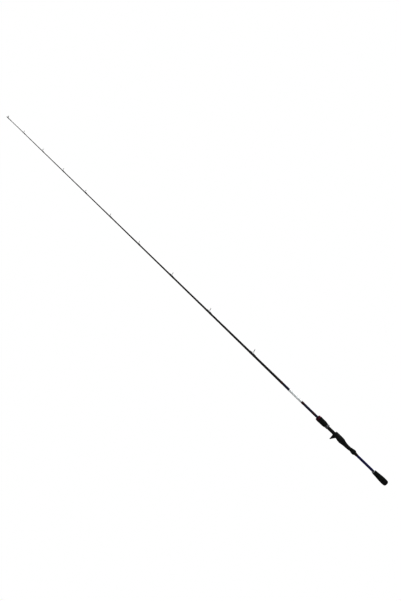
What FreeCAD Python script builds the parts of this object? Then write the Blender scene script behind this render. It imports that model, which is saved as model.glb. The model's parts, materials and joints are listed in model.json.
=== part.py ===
"""Casting rod with a trigger reel seat: one-piece tubular blank, split grip, nine line guides and a tip-top.

The rod lies along X with its tip at -X and its butt at +X. Guides and reel foot are on the +Z side and the
trigger points to -Z. The origin is on the rod's axis under the reel foot. Stations are distances from the
butt end, so a station s lies at x = reel_station - s. Lengths are millimetres.
"""

import FreeCAD, Part
import math
import os
import re
import Sketcher

DIMENSIONS = [
    # alias, value, what it is
    ("overall_length", 2083, "butt end to tip end"),
    ("reel_station", 300, "butt end to the middle of the reel foot"),
    ("running_gap", 0.35, "gap between pieces that slide or turn on each other"),
    ("overcut", 1, "how far a cutter runs past the piece it cuts"),
    # blank
    ("blank_butt", 8, "station of the blank's cut end inside the butt cap"),
    ("handle_radius", 4.925, "blank radius from the butt to the start of its taper"),
    ("taper_start", 557, "station where the blank begins to taper"),
    ("mid_station", 900, "station of the first change of taper"),
    ("mid_radius", 3.7, "blank radius there"),
    ("upper_station", 1480, "station of the second change of taper"),
    ("upper_radius", 2.15, "blank radius there"),
    ("tip_station", 2081, "station of the blank's cut tip, inside the tip-top tube"),
    ("tip_radius", 1.0, "blank radius at the tip"),
    ("hollow_end", 1880, "station where the hollow ends and the solid tip begins"),
    ("hollow_radius", 3.75, "bore of the blank from the butt to the start of its taper"),
    ("mid_bore", 2.6, "bore at the first change of taper"),
    ("upper_bore", 1.3, "bore at the second change of taper"),
    ("tip_bore", 0.5, "bore where the hollow ends"),
    # butt
    ("cap_length", 10, "rubber butt cap"),
    ("cap_flat_radius", 4.5, "flat at the very end of the cap"),
    ("cap_dome_radius", 8.6, "rounding of the cap"),
    ("cap_seam_radius", 11.6, "radius where cap and grip meet"),
    ("butt_swell_station", 30, "front of the swelled end of the butt grip"),
    ("butt_swell_radius", 11.7, "grip radius there"),
    ("butt_crown_radius", 90, "rounding of the swelled end"),
    ("butt_neck_station", 60, "rear of the slim front of the butt grip"),
    ("butt_neck_radius", 9.2, "grip radius there"),
    ("butt_grip_front", 69, "station of the butt grip's front end"),
    ("butt_front_radius", 8.8, "grip radius there"),
    ("butt_check_front", 77, "station of the front of the ring ahead of the butt grip"),
    ("butt_check_radius", 8.5, "largest radius of that ring"),
    ("butt_check_rounding", 12, "rounding of that ring's outside"),
    ("check_lip_radius", 5.5, "radius of a check ring's thin front lip"),
    ("plug_length", 14, "rubber plug in the blank's open end"),
    # rear check and rear knob
    ("rear_check_back", 163, "station of the small end of the ring behind the rear knob"),
    ("rear_check_radius", 6.2, "radius of that ring where it meets the knob"),
    ("knob_back", 173, "station of the rear knob's back end"),
    ("knob_back_radius", 7.0, "knob radius there"),
    ("knob_crown", 181, "station of the knob's largest radius"),
    ("knob_crown_radius", 9.1, "largest radius of the knob"),
    ("knob_rounding", 7, "rounding of the knob's back end"),
    ("knob_flank", 32, "rounding of the knob's long flank"),
    ("knob_front_radius", 6.8, "knob radius at the seat"),
    # reel seat
    ("seat_back", 199, "station of the seat's back end"),
    ("seat_bore", 5.4, "bore of the seat for the blank"),
    ("barrel_radius", 6.9, "outside of the seat's barrel"),
    ("barrel_back", 290, "station where the palm swell has blended into the barrel"),
    ("thread_back", 345, "station where the barrel's thread begins"),
    ("thread_front", 376, "station of the seat's front end"),
    ("thread_root_radius", 6.6, "root radius of the barrel's thread"),
    ("thread_bevel", 1.2, "length of the bevel at the seat's front end"),
    ("thread_end_radius", 6.0, "small end of that bevel"),
    ("saddle_height", 6.4, "height of the flat that the reel foot rests on"),
    ("saddle_back", 288, "station where the open flat begins"),
    ("cutter_half_width", 10, "half width of the cutter that makes the flat, wider than the seat there"),
    ("cutter_top", 20, "height of that cutter's top, clear of the palm swell"),
    ("pocket_back", 274, "station of the blind end of the rear foot pocket"),
    ("pocket_radius", 8.9, "inner radius of the rear hood"),
    ("pocket_centre", 2.1, "height of that radius's centre"),
    ("flat_run_out", 6, "how far the flat runs on along the thread"),
    ("nose_ratio", 0.6, "radius of the trigger's rounded edges over its width"),
    ("arbor_length", 22, "sleeve that centres the blank in the seat"),
    ("front_arbor_front", 372, "station of the front arbor's front end"),
    ("rear_arbor_back", 202, "station of the rear arbor's back end"),
    # sliding hood
    ("hood_mouth", 322, "station of the sliding hood's mouth"),
    ("hood_centre", 0.8, "height of the hood's centre above the rod's axis"),
    ("hood_shell_radius", 9.3, "outside of the hood's metal shell"),
    ("hood_shell_wall", 0.5, "wall of the metal shell"),
    ("hood_shell_lip", 0.6, "rolled lip at the shell's mouth"),
    ("hood_shell_front", 331.5, "station where the shell ends on the carrier's shoulder"),
    ("hood_shoulder", 333.3, "station of the front of the carrier's shoulder"),
    ("hood_pocket_front", 331, "station of the blind end of the front foot pocket"),
    ("hood_pocket_radius", 8.0, "inner radius of the foot pocket"),
    ("hood_pocket_centre", 0.75, "height of that radius's centre"),
    ("tail_radius", 7.95, "outside of the carrier's tail"),
    ("flange_radius", 8.7, "captive flange at the end of the tail"),
    ("flange_back", 339, "station of the back of that flange"),
    ("flange_front", 342, "station of its front"),
    # lock nut and foregrip
    ("axial_gap", 0.3, "end play between the hood's flange and the nut"),
    ("nut_radius", 9.9, "outside of the nut and its retainer"),
    ("nut_bore", 7.5, "bore of the nut at the thread's crests"),
    ("retainer_rim", 10.2, "visible rim of the retainer"),
    ("retainer_edge", 9.4, "small end of that rim's bevel"),
    ("retainer_rim_front", 335.5, "station where the rim meets the foregrip"),
    ("grip_front", 370, "station of the foregrip's front end"),
    ("grip_back_radius", 10.4, "foregrip radius at its back end"),
    ("grip_shoulder", 343, "station where the back rounding ends"),
    ("grip_radius", 11.4, "foregrip radius"),
    ("grip_rounding", 14, "rounding of the back end"),
    ("grip_waist", 361, "station where the front rim starts"),
    ("grip_rim_station", 367, "station of the front rim"),
    ("grip_rim_radius", 11.8, "radius of the front rim"),
    ("front_ring_front", 380, "station of the front of the trim ring"),
    ("front_ring_radius", 11.3, "largest radius of the trim ring"),
    ("front_ring_edge", 10.8, "radius where its front bevel starts"),
    ("front_ring_bevel", 2, "length of that bevel"),
    ("front_ring_nose", 9.0, "radius of its front face"),
    ("front_ring_lip", 377, "station of the back of the ring's inner lip"),
    ("front_ring_bore", 5.7, "bore of that lip round the blank"),
    ("hood_travel", 24, "how far hood and nut run towards the tip"),
    # bands on the blank
    ("band_wall", 0.2, "thickness of a thread band"),
    ("label_wall", 0.12, "thickness of the foil label"),
    ("rear_band_back", 394, "station of the back of the rear trim band"),
    ("rear_band_front", 408, "station of its front"),
    ("middle_band_back", 453, "station of the back of the middle trim band"),
    ("middle_band_front", 467, "station of its front and of the label's back"),
    ("label_front", 535, "station of the label's front"),
    ("front_band_back", 571, "station of the back of the front trim band"),
    ("front_band_front", 581, "station of its front"),
    # line guides
    ("guide_lean", 15, "degrees that each guide's ring leans towards the tip"),
    ("holder_wall", 0.2, "wall of a ring's metal holder, before its share of the ring's radius"),
    ("holder_wall_share", 0.06, "that share"),
    ("holder_width", 0.4, "half width of the holder, before its share"),
    ("holder_width_share", 0.06, "that share"),
    ("holder_edge", 0.1, "how far the holder's rims lie below its crown"),
    ("holder_crown", 4, "rounding of that crown over the half width"),
    ("insert_overhang", 0.15, "how far the ceramic ring stands out on each side of its holder"),
    ("insert_edge", 0.2, "depth of the ceramic ring's square edge"),
    ("insert_depth", 0.35, "thickness of the ceramic ring, before its share of the ring's radius"),
    ("insert_depth_share", 0.11, "that share"),
    ("throat_share", 0.3, "length of the straight throat over the ceramic ring's width"),
    ("wire", 0.25, "radius of a leg's wire, before its share of the ring's radius"),
    ("wire_share", 0.07, "that share"),
    ("foot", 0.45, "radius of a foot's thick end, before its share of the ring's radius"),
    ("foot_share", 0.14, "that share"),
    ("foot_thin", 0.4, "thin end of a foot over its thick end"),
    ("leg_landing", 0.35, "height of a leg's end over the blank, over the foot's radius"),
    ("leg_angle", 50, "degrees from the ring's lowest point to each side leg"),
    ("wrap_wall", 0.35, "thread wrap thickness on the bare side of the blank"),
    ("wrap_overhang", 0.8, "how far a wrap runs past the thin tip of its foot"),
    ("wrap_edge", 0.18, "thickness of the tip-top's wrap at its back end"),
    ("wrap_rise", 1, "length over which that wrap reaches its full thickness"),
    ("tip_tube_wall", 0.4, "wall of the tip-top's tube"),
    ("tip_tube_back", 2069, "station of the back of that tube"),
    ("tip_rounding", 1, "length of the bevel at the tube's closed end"),
    ("tip_leg_angle", 55, "degrees from the lowest point of the tip-top's ring to each side leg"),
    ("tip_leg_landing", 2073, "station where those legs meet the tube"),
    ("tip_leg_sink", 0.2, "height of a leg's end over the blank, inside the tube's wall"),
    ("tip_ring_station", 2078.5, "station of the tip-top's ring centre"),
    ("tip_ring_height", 5.0, "height of that centre"),
    ("tip_ring_radius", 2.9, "outside radius of the tip-top's ring"),
    ("tip_wrap_back", 2058, "station of the back of the tip-top's wrap"),
    ("tip_wrap_front", 2068.9, "station of its front"),
]

# One row for each line guide, from the reel to the tip: station and height of the ring's centre, outside
# radius of the ring, and the number of feet.
GUIDES = [
    (740.7, 16.2, 5.75, 2),
    (979.0, 13.8, 4.75, 2),
    (1183.6, 11.4, 3.75, 2),
    (1364.4, 9.1, 3.2, 1),
    (1521.6, 7.6, 3.0, 1),
    (1656.4, 7.2, 3.0, 1),
    (1778.9, 6.9, 2.9, 1),
    (1890.0, 6.7, 2.9, 1),
    (1993.2, 5.9, 2.8, 1),
]

# Palm swell of the seat: station, reach above the axis and reach below it, from the back to the barrel.
PALM_SECTIONS = [
    (199, 6.0, 8.0),
    (205, 6.0, 8.6),
    (211, 6.0, 9.1),
    (217, 6.1, 9.6),
    (223, 6.5, 10.0),
    (230, 7.6, 10.4),
    (237, 9.8, 11.2),
    (244, 11.5, 12.4),
    (251, 12.1, 12.9),
    (258, 12.4, 12.1),
    (266, 12.4, 10.3),
    (275, 12.4, 8.6),
    (282, 12.1, 7.8),
    (287, 10.6, 7.4),
    (290, 8.6, 7.2),
    (294, 5.9, 6.0),
]

# Trigger: height, station of its back, station of its front, and width, from its root to its tip.
TRIGGER_SECTIONS = [
    (-5.2, 265.0, 291.4, 9.2),
    (-8.0, 269.6, 289.2, 8.4),
    (-11.5, 273.0, 287.9, 7.2),
    (-18.0, 278.0, 287.3, 6.0),
    (-24.5, 282.4, 287.1, 4.4),
    (-28.0, 284.8, 287.1, 2.2),
]

# Where a guide's feet lie, in ring radii from the ring's station towards the tip: name, under the leg, the
# foot's thin tip, extra length in mm, and where the wrap starts.
TWO_FEET = [
    ("front", 0, 2.2, 0, 0.35),
    ("rear", -0.95, -3.6, 0, -1.3),
]
ONE_FOOT = [("rear", -0.9, -1.5, -7, -1.5)]
# Where the legs meet the blank, in the same way.
FRONT_LEG = 0.1
REAR_LEG = -1.05

# How far the stand-in for the blank reaches to both sides of a guide's ring, in ring radii: past every wrap.
BLANK_REACH = 9
# A cut has to take at least this much, in mm3.
LEAST_CUT = 0.01

document = FreeCAD.newDocument("casting_rod")
dim = document.addObject("Spreadsheet::Sheet", "dim")


def fill_sheet():
    """One row a dimension: its words in A, its value in B with its alias."""
    rows = list(DIMENSIONS)
    for number, (station, height, ring_radius, _) in enumerate(GUIDES, start=1):
        rows.append((f"guide{number}_station", station, f"guide {number}: station of the ring's centre"))
        rows.append((f"guide{number}_height", height, f"guide {number}: height of the ring's centre"))
        rows.append((f"guide{number}_ring", ring_radius, f"guide {number}: outside radius of the ring"))
    for number, (station, above, below) in enumerate(PALM_SECTIONS, start=1):
        rows.append((f"palm{number}_station", station, f"palm section {number}: station"))
        rows.append((f"palm{number}_above", above, f"palm section {number}: reach above the axis"))
        rows.append((f"palm{number}_below", below, f"palm section {number}: reach below the axis"))
    for number, (height, back, front, width) in enumerate(TRIGGER_SECTIONS, start=1):
        rows.append((f"trigger{number}_height", height, f"trigger section {number}: height"))
        rows.append((f"trigger{number}_back", back, f"trigger section {number}: station of its back"))
        rows.append((f"trigger{number}_front", front, f"trigger section {number}: station of its front"))
        rows.append((f"trigger{number}_width", width, f"trigger section {number}: width"))
    for row, (alias, value, words) in enumerate(rows, start=1):
        dim.set(f"A{row}", words)
        dim.set(f"B{row}", str(value))
        dim.setAlias(f"B{row}", alias)
    document.recompute()


def value_of(expression):
    """The number that an expression over the sheet's cells gives."""
    return float(dim.evalExpression(expression))


def at(station):
    """The expression for the x of a station, given as a cell's alias or a sum of them."""
    return f"reel_station - ({station})"


def bound(expression):
    """An expression over aliases as other objects write it, with the sheet's name before each alias."""
    return re.sub(r"[a-z]\w*(?!\w|\()", lambda alias: f"dim.{alias.group()}", expression)


def plane(body, role):
    return next(feature for feature in body.Origin.OriginFeatures if feature.Role == role)


def new_sketch(body, role, name, offset=None):
    """A sketch on one of the body's own origin planes, or at an offset from it along its normal."""
    sketch = body.newObject("Sketcher::SketchObject", name)
    sketch.AttachmentSupport = [(plane(body, role), "")]
    sketch.MapMode = "FlatFace"
    if offset:
        sketch.setExpression("AttachmentOffset.Base.z", bound(offset))
    return sketch


def fix_point(sketch, curve, end, across, up):
    """Ties one end of a curve to a place given by two expressions."""
    for kind, expression in (("DistanceX", across), ("DistanceY", up)):
        number = sketch.addConstraint(
            Sketcher.Constraint(kind, -1, 1, curve, end, value_of(expression))
        )
        sketch.setExpression(f"Constraints[{number}]", bound(expression))


def arc_between(start, end, radius):
    """The short arc from start to end. A positive radius bulges to the left of the way there."""
    chord = end - start
    half = chord.Length / 2
    left = FreeCAD.Vector(-chord.y, chord.x, 0).normalize()
    rise = abs(radius) - math.sqrt(radius * radius - half * half)
    middle = (start + end) / 2 + left * math.copysign(rise, radius)
    return Part.Arc(start, middle, end)


def draw_outline(sketch, corners):
    """A closed outline. A corner is (across, up), or (across, up, radius) where an arc leaves it."""
    points = [FreeCAD.Vector(value_of(corner[0]), value_of(corner[1]), 0) for corner in corners]
    count = len(corners)
    for number, corner in enumerate(corners):
        start, end = points[number], points[(number + 1) % count]
        if len(corner) == 2:
            sketch.addGeometry(Part.LineSegment(start, end), False)
            fix_point(sketch, number, 1, corner[0], corner[1])
        else:
            radius = value_of(corner[2])
            sketch.addGeometry(arc_between(start, end, radius), False)
    for number, corner in enumerate(corners):
        following = (number + 1) % count
        # an arc that bulges to the left of its way runs clockwise, so its end comes first
        ends = (2, 1)
        if len(corner) == 3 and value_of(corner[2]) > 0:
            ends = (1, 2)
        starts = 1
        if len(corners[following]) == 3 and value_of(corners[following][2]) > 0:
            starts = 2
        sketch.addConstraint(Sketcher.Constraint("Coincident", number, ends[0], following, starts))
        if len(corner) == 3:
            fix_point(sketch, number, ends[1], corner[0], corner[1])
            size = corner[2].lstrip("-")
            rounding = sketch.addConstraint(Sketcher.Constraint("Radius", number, value_of(size)))
            sketch.setExpression(f"Constraints[{rounding}]", bound(size))


def draw_circle(sketch, radius, centre="0"):
    """A circle round the axis, or round a centre above it."""
    circle = Part.Circle(
        FreeCAD.Vector(0, value_of(centre), 0), FreeCAD.Vector(0, 0, 1), value_of(radius)
    )
    number = sketch.addGeometry(circle, False)
    tied = sketch.addConstraint(Sketcher.Constraint("Radius", number, value_of(radius)))
    sketch.setExpression(f"Constraints[{tied}]", bound(radius))
    fix_point(sketch, number, 3, "0", centre)


def new_body(label):
    body = document.addObject("PartDesign::Body", label)
    body.Label = label
    return body


def revolve(body, corners, kind="PartDesign::Revolution"):
    """Turns an outline of (x, radius) round the rod's axis, to add it to the body or to groove it."""
    sketch = new_sketch(body, "XZ_Plane", f"{body.Name}_outline")
    draw_outline(sketch, corners)
    feature = body.newObject(kind, f"{body.Name}_turned")
    feature.Profile = sketch
    feature.ReferenceAxis = (sketch, ["H_Axis"])
    feature.Angle = 360
    document.recompute()
    return feature


def must_cut(body, before):
    """Stops if a cut has taken nothing from a body."""
    if body.Shape.Volume > before - LEAST_CUT:
        raise ValueError(f"a cut takes nothing from {body.Label}")


def cut_along(body, draw, start, end):
    """A pocket along X between two stations. draw fills the sketch at its start."""
    before = body.Shape.Volume
    sketch = new_sketch(body, "YZ_Plane", f"{body.Name}_section", at(start))
    draw(sketch)
    pocket = body.newObject("PartDesign::Pocket", f"{body.Name}_cut")
    pocket.Profile = sketch
    pocket.Type = "Length"
    pocket.Reversed = value_of(start) > value_of(end)
    pocket.setExpression("Length", bound(f"abs(({start}) - ({end}))"))
    document.recompute()
    must_cut(body, before)


def sleeve(label, back, front, inner, outer):
    """A plain tube between two stations."""
    body = new_body(label)
    revolve(body, [(at(back), inner), (at(back), outer), (at(front), outer), (at(front), inner)])
    return body


def blank_at(station):
    """The expression for the blank's outside radius at a station, from the stretch of taper it lies on."""
    knots = [
        ("taper_start", "handle_radius"),
        ("mid_station", "mid_radius"),
        ("upper_station", "upper_radius"),
        ("tip_station", "tip_radius"),
    ]
    if value_of(station) <= value_of("taper_start"):
        return "handle_radius"
    for (near, near_radius), (far, far_radius) in zip(knots, knots[1:]):
        if value_of(station) <= value_of(far):
            break
    share = f"({station} - {near}) / ({far} - {near})"
    return f"({near_radius} + {share} * ({far_radius} - {near_radius}))"


def make_blank():
    """Tapered tube that ends in a solid tip. Its bore follows the outside."""
    corners = [
        (at("blank_butt"), "hollow_radius"),
        (at("blank_butt"), "handle_radius"),
        (at("taper_start"), "handle_radius"),
        (at("mid_station"), "mid_radius"),
        (at("upper_station"), "upper_radius"),
        (at("tip_station"), "tip_radius"),
        (at("tip_station"), "0"),
        (at("hollow_end"), "0"),
        (at("hollow_end"), "tip_bore"),
        (at("upper_station"), "upper_bore"),
        (at("mid_station"), "mid_bore"),
        (at("taper_start"), "hollow_radius"),
    ]
    revolve(new_body("blank"), corners)


def make_butt():
    """Rubber cap, foam grip, ring ahead of it, and the plug in the blank's end."""
    cap = [
        (at("0"), "0"),
        (at("0"), "cap_flat_radius", "- cap_dome_radius"),
        (at("cap_length"), "cap_seam_radius"),
        (at("cap_length"), "handle_radius"),
        (at("blank_butt"), "handle_radius"),
        (at("blank_butt"), "0"),
    ]
    revolve(new_body("butt_cap"), cap)
    grip = [
        (at("cap_length"), "handle_radius"),
        (at("cap_length"), "cap_seam_radius", "- butt_crown_radius"),
        (at("butt_swell_station"), "butt_swell_radius"),
        (at("butt_neck_station"), "butt_neck_radius"),
        (at("butt_grip_front"), "butt_front_radius"),
        (at("butt_grip_front"), "handle_radius"),
    ]
    revolve(new_body("butt_grip"), grip)
    ring = [
        (at("butt_grip_front"), "handle_radius"),
        (at("butt_grip_front"), "butt_check_radius", "- butt_check_rounding"),
        (at("butt_check_front"), "check_lip_radius"),
        (at("butt_check_front"), "handle_radius"),
    ]
    revolve(new_body("butt_check"), ring)
    plug = [
        (at("blank_butt"), "0"),
        (at("blank_butt"), "hollow_radius"),
        (at("blank_butt + plug_length"), "hollow_radius"),
        (at("blank_butt + plug_length"), "0"),
    ]
    revolve(new_body("butt_plug"), plug)


def make_rear_knob():
    """Short flared foam knob behind the seat, and the ring that trims its back."""
    knob = [
        (at("knob_back"), "handle_radius"),
        (at("knob_back"), "knob_back_radius", "- knob_rounding"),
        (at("knob_crown"), "knob_crown_radius", "- knob_flank"),
        (at("seat_back"), "knob_front_radius"),
        (at("seat_back"), "handle_radius"),
    ]
    revolve(new_body("rear_knob"), knob)
    ring = [
        (at("rear_check_back"), "handle_radius"),
        (at("rear_check_back"), "check_lip_radius"),
        (at("knob_back"), "rear_check_radius"),
        (at("knob_back"), "handle_radius"),
    ]
    revolve(new_body("rear_check"), ring)


def add_palm(body):
    """Palm swell and rear hood: circles across the rod, each with its own centre height."""
    sections = []
    for number in range(1, len(PALM_SECTIONS) + 1):
        above, below = f"palm{number}_above", f"palm{number}_below"
        sketch = new_sketch(body, "YZ_Plane", f"palm_section_{number}", at(f"palm{number}_station"))
        draw_circle(sketch, f"({above} + {below}) / 2", f"({above} - {below}) / 2")
        sections.append(sketch)
    loft = body.newObject("PartDesign::AdditiveLoft", "palm_swell")
    loft.Profile = sections[0]
    loft.Sections = sections[1:]
    document.recompute()


def add_trigger(body):
    """Trigger: flat sections with round noses that shrink from the barrel to the trigger's tip."""
    sections = []
    for number in range(1, len(TRIGGER_SECTIONS) + 1):
        half = f"trigger{number}_width * 0.5"
        nose = f"trigger{number}_width * nose_ratio"
        # a nose bent over the width stands out by this much
        reach = f"trigger{number}_width * (nose_ratio - sqrt(nose_ratio * nose_ratio - 0.25))"
        back = at(f"trigger{number}_back + {reach}")
        front = at(f"trigger{number}_front - {reach}")
        sketch = new_sketch(body, "XY_Plane", f"trigger_section_{number}", f"trigger{number}_height")
        outline = [
            (front, half),
            (back, half, nose),
            (back, f"- {half}"),
            (front, f"- {half}", nose),
        ]
        draw_outline(sketch, outline)
        sections.append(sketch)
    loft = body.newObject("PartDesign::AdditiveLoft", "trigger_horn")
    loft.Profile = sections[0]
    loft.Sections = sections[1:]
    document.recompute()


def rectangle(half_width, low, high):
    """A section that draws a box from low to high, centred across the rod."""

    def draw(sketch):
        left, right = f"- {half_width}", half_width
        draw_outline(sketch, [(left, low), (right, low), (right, high), (left, high)])

    return draw


def disc(radius, centre="0"):
    """A section that draws a circle."""
    return lambda sketch: draw_circle(sketch, radius, centre)


def cut_disc(radius, centre, flat, side=1):
    """A section that draws a circle cut by a level flat: the cap above it, or with side -1 the rest."""
    half = f"sqrt(({radius}) * ({radius}) - ({flat} - {centre}) * ({flat} - {centre}))"

    def draw(sketch):
        half_chord = value_of(half)
        size, middle, level = value_of(radius), value_of(centre), value_of(flat)
        left = FreeCAD.Vector(-half_chord, level, 0)
        right = FreeCAD.Vector(half_chord, level, 0)
        crown = FreeCAD.Vector(0, middle + side * size, 0)
        sketch.addGeometry(Part.LineSegment(left, right), False)
        sketch.addGeometry(Part.Arc(right, crown, left), False)
        # an arc runs anticlockwise, so over the flat it starts on the right and under it on the left
        arc_at_right, arc_at_left = (1, 2) if side > 0 else (2, 1)
        sketch.addConstraint(Sketcher.Constraint("Coincident", 0, 2, 1, arc_at_right))
        sketch.addConstraint(Sketcher.Constraint("Coincident", 0, 1, 1, arc_at_left))
        fix_point(sketch, 1, 3, "0", centre)
        tied = sketch.addConstraint(Sketcher.Constraint("Radius", 1, size))
        sketch.setExpression(f"Constraints[{tied}]", bound(radius))
        sketch.addConstraint(Sketcher.Constraint("Horizontal", 0))
        number = sketch.addConstraint(Sketcher.Constraint("DistanceY", -1, 1, 0, 1, level))
        sketch.setExpression(f"Constraints[{number}]", bound(flat))

    return draw


def pad_along(body, draw, start, end):
    """A pad along X between two stations."""
    sketch = new_sketch(body, "YZ_Plane", f"{body.Name}_profile", at(start))
    draw(sketch)
    pad = body.newObject("PartDesign::Pad", f"{body.Name}_pad")
    pad.Profile = sketch
    pad.Reversed = value_of(end) > value_of(start)
    pad.setExpression("Length", bound(f"abs(({start}) - ({end}))"))
    document.recompute()


def make_seat():
    """Moulded trigger seat: palm swell with rear hood, barrel with saddle flat, thread root and trigger."""
    body = new_body("reel_seat")
    add_palm(body)
    barrel = [
        (at("pocket_back"), "0"),
        (at("pocket_back"), "barrel_radius"),
        (at("thread_back"), "barrel_radius"),
        (at("thread_back"), "thread_root_radius"),
        (at("thread_front - thread_bevel"), "thread_root_radius"),
        (at("thread_front"), "thread_end_radius"),
        (at("thread_front"), "0"),
    ]
    revolve(body, barrel)
    add_trigger(body)
    flat = rectangle("cutter_half_width", "saddle_height", "cutter_top")
    cut_along(body, flat, "saddle_back", "thread_back + flat_run_out")
    pocket = cut_disc("pocket_radius", "pocket_centre", "saddle_height")
    cut_along(body, pocket, "barrel_back", "pocket_back")
    bore = [
        (at("seat_back - overcut"), "0"),
        (at("seat_back - overcut"), "seat_bore"),
        (at("thread_front + overcut"), "seat_bore"),
        (at("thread_front + overcut"), "0"),
    ]
    before = body.Shape.Volume
    revolve(body, bore, "PartDesign::Groove")
    must_cut(body, before)
    rear = ("rear_arbor_back", "rear_arbor_back + arbor_length")
    front = ("front_arbor_front - arbor_length", "front_arbor_front")
    sleeve("seat_arbor_rear", *rear, "handle_radius", "seat_bore")
    sleeve("seat_arbor_front", *front, "handle_radius", "seat_bore")


def make_hood():
    """Sliding hood: a moulded carrier with a captive flange, in a metal shell."""
    carrier = new_body("hood_carrier")
    shell_inside = "hood_shell_radius - hood_shell_wall"
    pad_along(carrier, disc(shell_inside, "hood_centre"), "hood_mouth + hood_shell_lip", "hood_shell_front")
    pad_along(carrier, disc("hood_shell_radius", "hood_centre"), "hood_shell_front", "hood_shoulder")
    tail = [
        (at("hood_shoulder"), "0"),
        (at("hood_shoulder"), "tail_radius"),
        (at("flange_back"), "tail_radius"),
        (at("flange_back"), "flange_radius"),
        (at("flange_front"), "flange_radius"),
        (at("flange_front"), "0"),
    ]
    revolve(carrier, tail)
    bore_radius = "barrel_radius + running_gap"
    bore = cut_disc(bore_radius, "0", "saddle_height + running_gap", -1)
    cut_along(carrier, bore, "hood_mouth", "flange_front")
    foot_pocket = disc("hood_pocket_radius", "hood_pocket_centre")
    cut_along(carrier, foot_pocket, "hood_mouth", "hood_pocket_front")
    shell = new_body("hood_shell")
    pad_along(shell, disc("hood_shell_radius", "hood_centre"), "hood_mouth", "hood_shell_front")
    cut_along(shell, disc(shell_inside, "hood_centre"), "hood_shell_front", "hood_mouth + hood_shell_lip")
    cut_along(shell, foot_pocket, "hood_shell_front", "hood_mouth")


def make_lock():
    """Lock nut with its retainer, the foregrip glued over both, and the trim ring in front."""
    recess_back, recess_front = "flange_back - axial_gap", "flange_front + axial_gap"
    retainer = [
        (at("hood_shoulder + axial_gap"), "tail_radius + running_gap"),
        (at("hood_shoulder + axial_gap"), "retainer_edge"),
        (at("retainer_rim_front"), "retainer_rim"),
        (at("retainer_rim_front"), "nut_radius"),
        (at(recess_front), "nut_radius"),
        (at(recess_front), "flange_radius + running_gap"),
        (at(recess_back), "flange_radius + running_gap"),
        (at(recess_back), "tail_radius + running_gap"),
    ]
    revolve(new_body("nut_retainer"), retainer)
    sleeve("lock_nut", recess_front, "grip_front", "nut_bore", "nut_radius")
    grip = [
        (at("retainer_rim_front"), "nut_radius"),
        (at("retainer_rim_front"), "grip_back_radius", "grip_rounding"),
        (at("grip_shoulder"), "grip_radius"),
        (at("grip_waist"), "grip_radius"),
        (at("grip_rim_station"), "grip_rim_radius"),
        (at("grip_front"), "grip_rim_radius"),
        (at("grip_front"), "nut_radius"),
    ]
    revolve(new_body("foregrip"), grip)
    ring = [
        (at("grip_front"), "nut_bore"),
        (at("grip_front"), "front_ring_radius"),
        (at("front_ring_front - front_ring_bevel"), "front_ring_edge"),
        (at("front_ring_front"), "front_ring_nose"),
        (at("front_ring_front"), "front_ring_bore"),
        (at("front_ring_lip"), "front_ring_bore"),
        (at("front_ring_lip"), "nut_bore"),
    ]
    revolve(new_body("front_ring"), ring)


def make_bands():
    """Thread bands and the foil label on the blank ahead of the foregrip."""
    outside = "handle_radius + band_wall"
    label_outside = "handle_radius + label_wall"
    sleeve("rear_trim_band", "rear_band_back", "rear_band_front", "handle_radius", outside)
    sleeve("middle_trim_band", "middle_band_back", "middle_band_front", "handle_radius", outside)
    sleeve("label_band", "middle_band_front", "label_front", "handle_radius", label_outside)
    back, front = blank_at("front_band_back"), blank_at("front_band_front")
    corners = [
        (at("front_band_back"), back),
        (at("front_band_back"), f"{back} + band_wall"),
        (at("front_band_front"), f"{front} + band_wall"),
        (at("front_band_front"), front),
    ]
    revolve(new_body("front_trim_band"), corners)


def keep(feature, label):
    """Marks a feature that isn't a body as a piece of the rod."""
    feature.Label = label
    pieces.append(feature)


def cone_along(name, back, front, back_radius, front_radius, lift="0"):
    """A cone along the rod between two stations, with its axis lifted above the rod's."""
    cone = document.addObject("Part::Cone", name)
    cone.Placement = FreeCAD.Placement(FreeCAD.Vector(0, 0, 0), TO_TIP)
    cone.setExpression("Radius1", bound(back_radius))
    cone.setExpression("Radius2", bound(front_radius))
    cone.setExpression("Height", bound(f"({front}) - ({back})"))
    cone.setExpression("Placement.Base.x", bound(at(back)))
    cone.setExpression("Placement.Base.z", bound(lift))
    return cone


def strut(name, start, end, radius):
    """A round wire between two points."""
    wire = document.addObject("Part::Cylinder", name)
    way = end - start
    wire.Height = way.Length
    wire.Placement = FreeCAD.Placement(start, FreeCAD.Rotation(FreeCAD.Vector(0, 0, 1), way))
    wire.setExpression("Radius", bound(radius))
    return wire


def join(name, features):
    if len(features) == 1:
        return features[0]
    union = document.addObject("Part::MultiFuse", name)
    union.Shapes = features
    return union


def cut(name, base, tool):
    difference = document.addObject("Part::Cut", name)
    difference.Base = base
    difference.Tool = tool
    return difference


def lean_ring(body, station, height):
    """Sets a ring that was turned round X at its place on the rod, leaning towards the tip."""
    lean = FreeCAD.Rotation(ACROSS, -value_of("guide_lean"))
    body.Placement = FreeCAD.Placement(FreeCAD.Vector(0, 0, 0), lean)
    body.setExpression("Placement.Base.x", bound(at(station)))
    body.setExpression("Placement.Base.z", bound(height))


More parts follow.
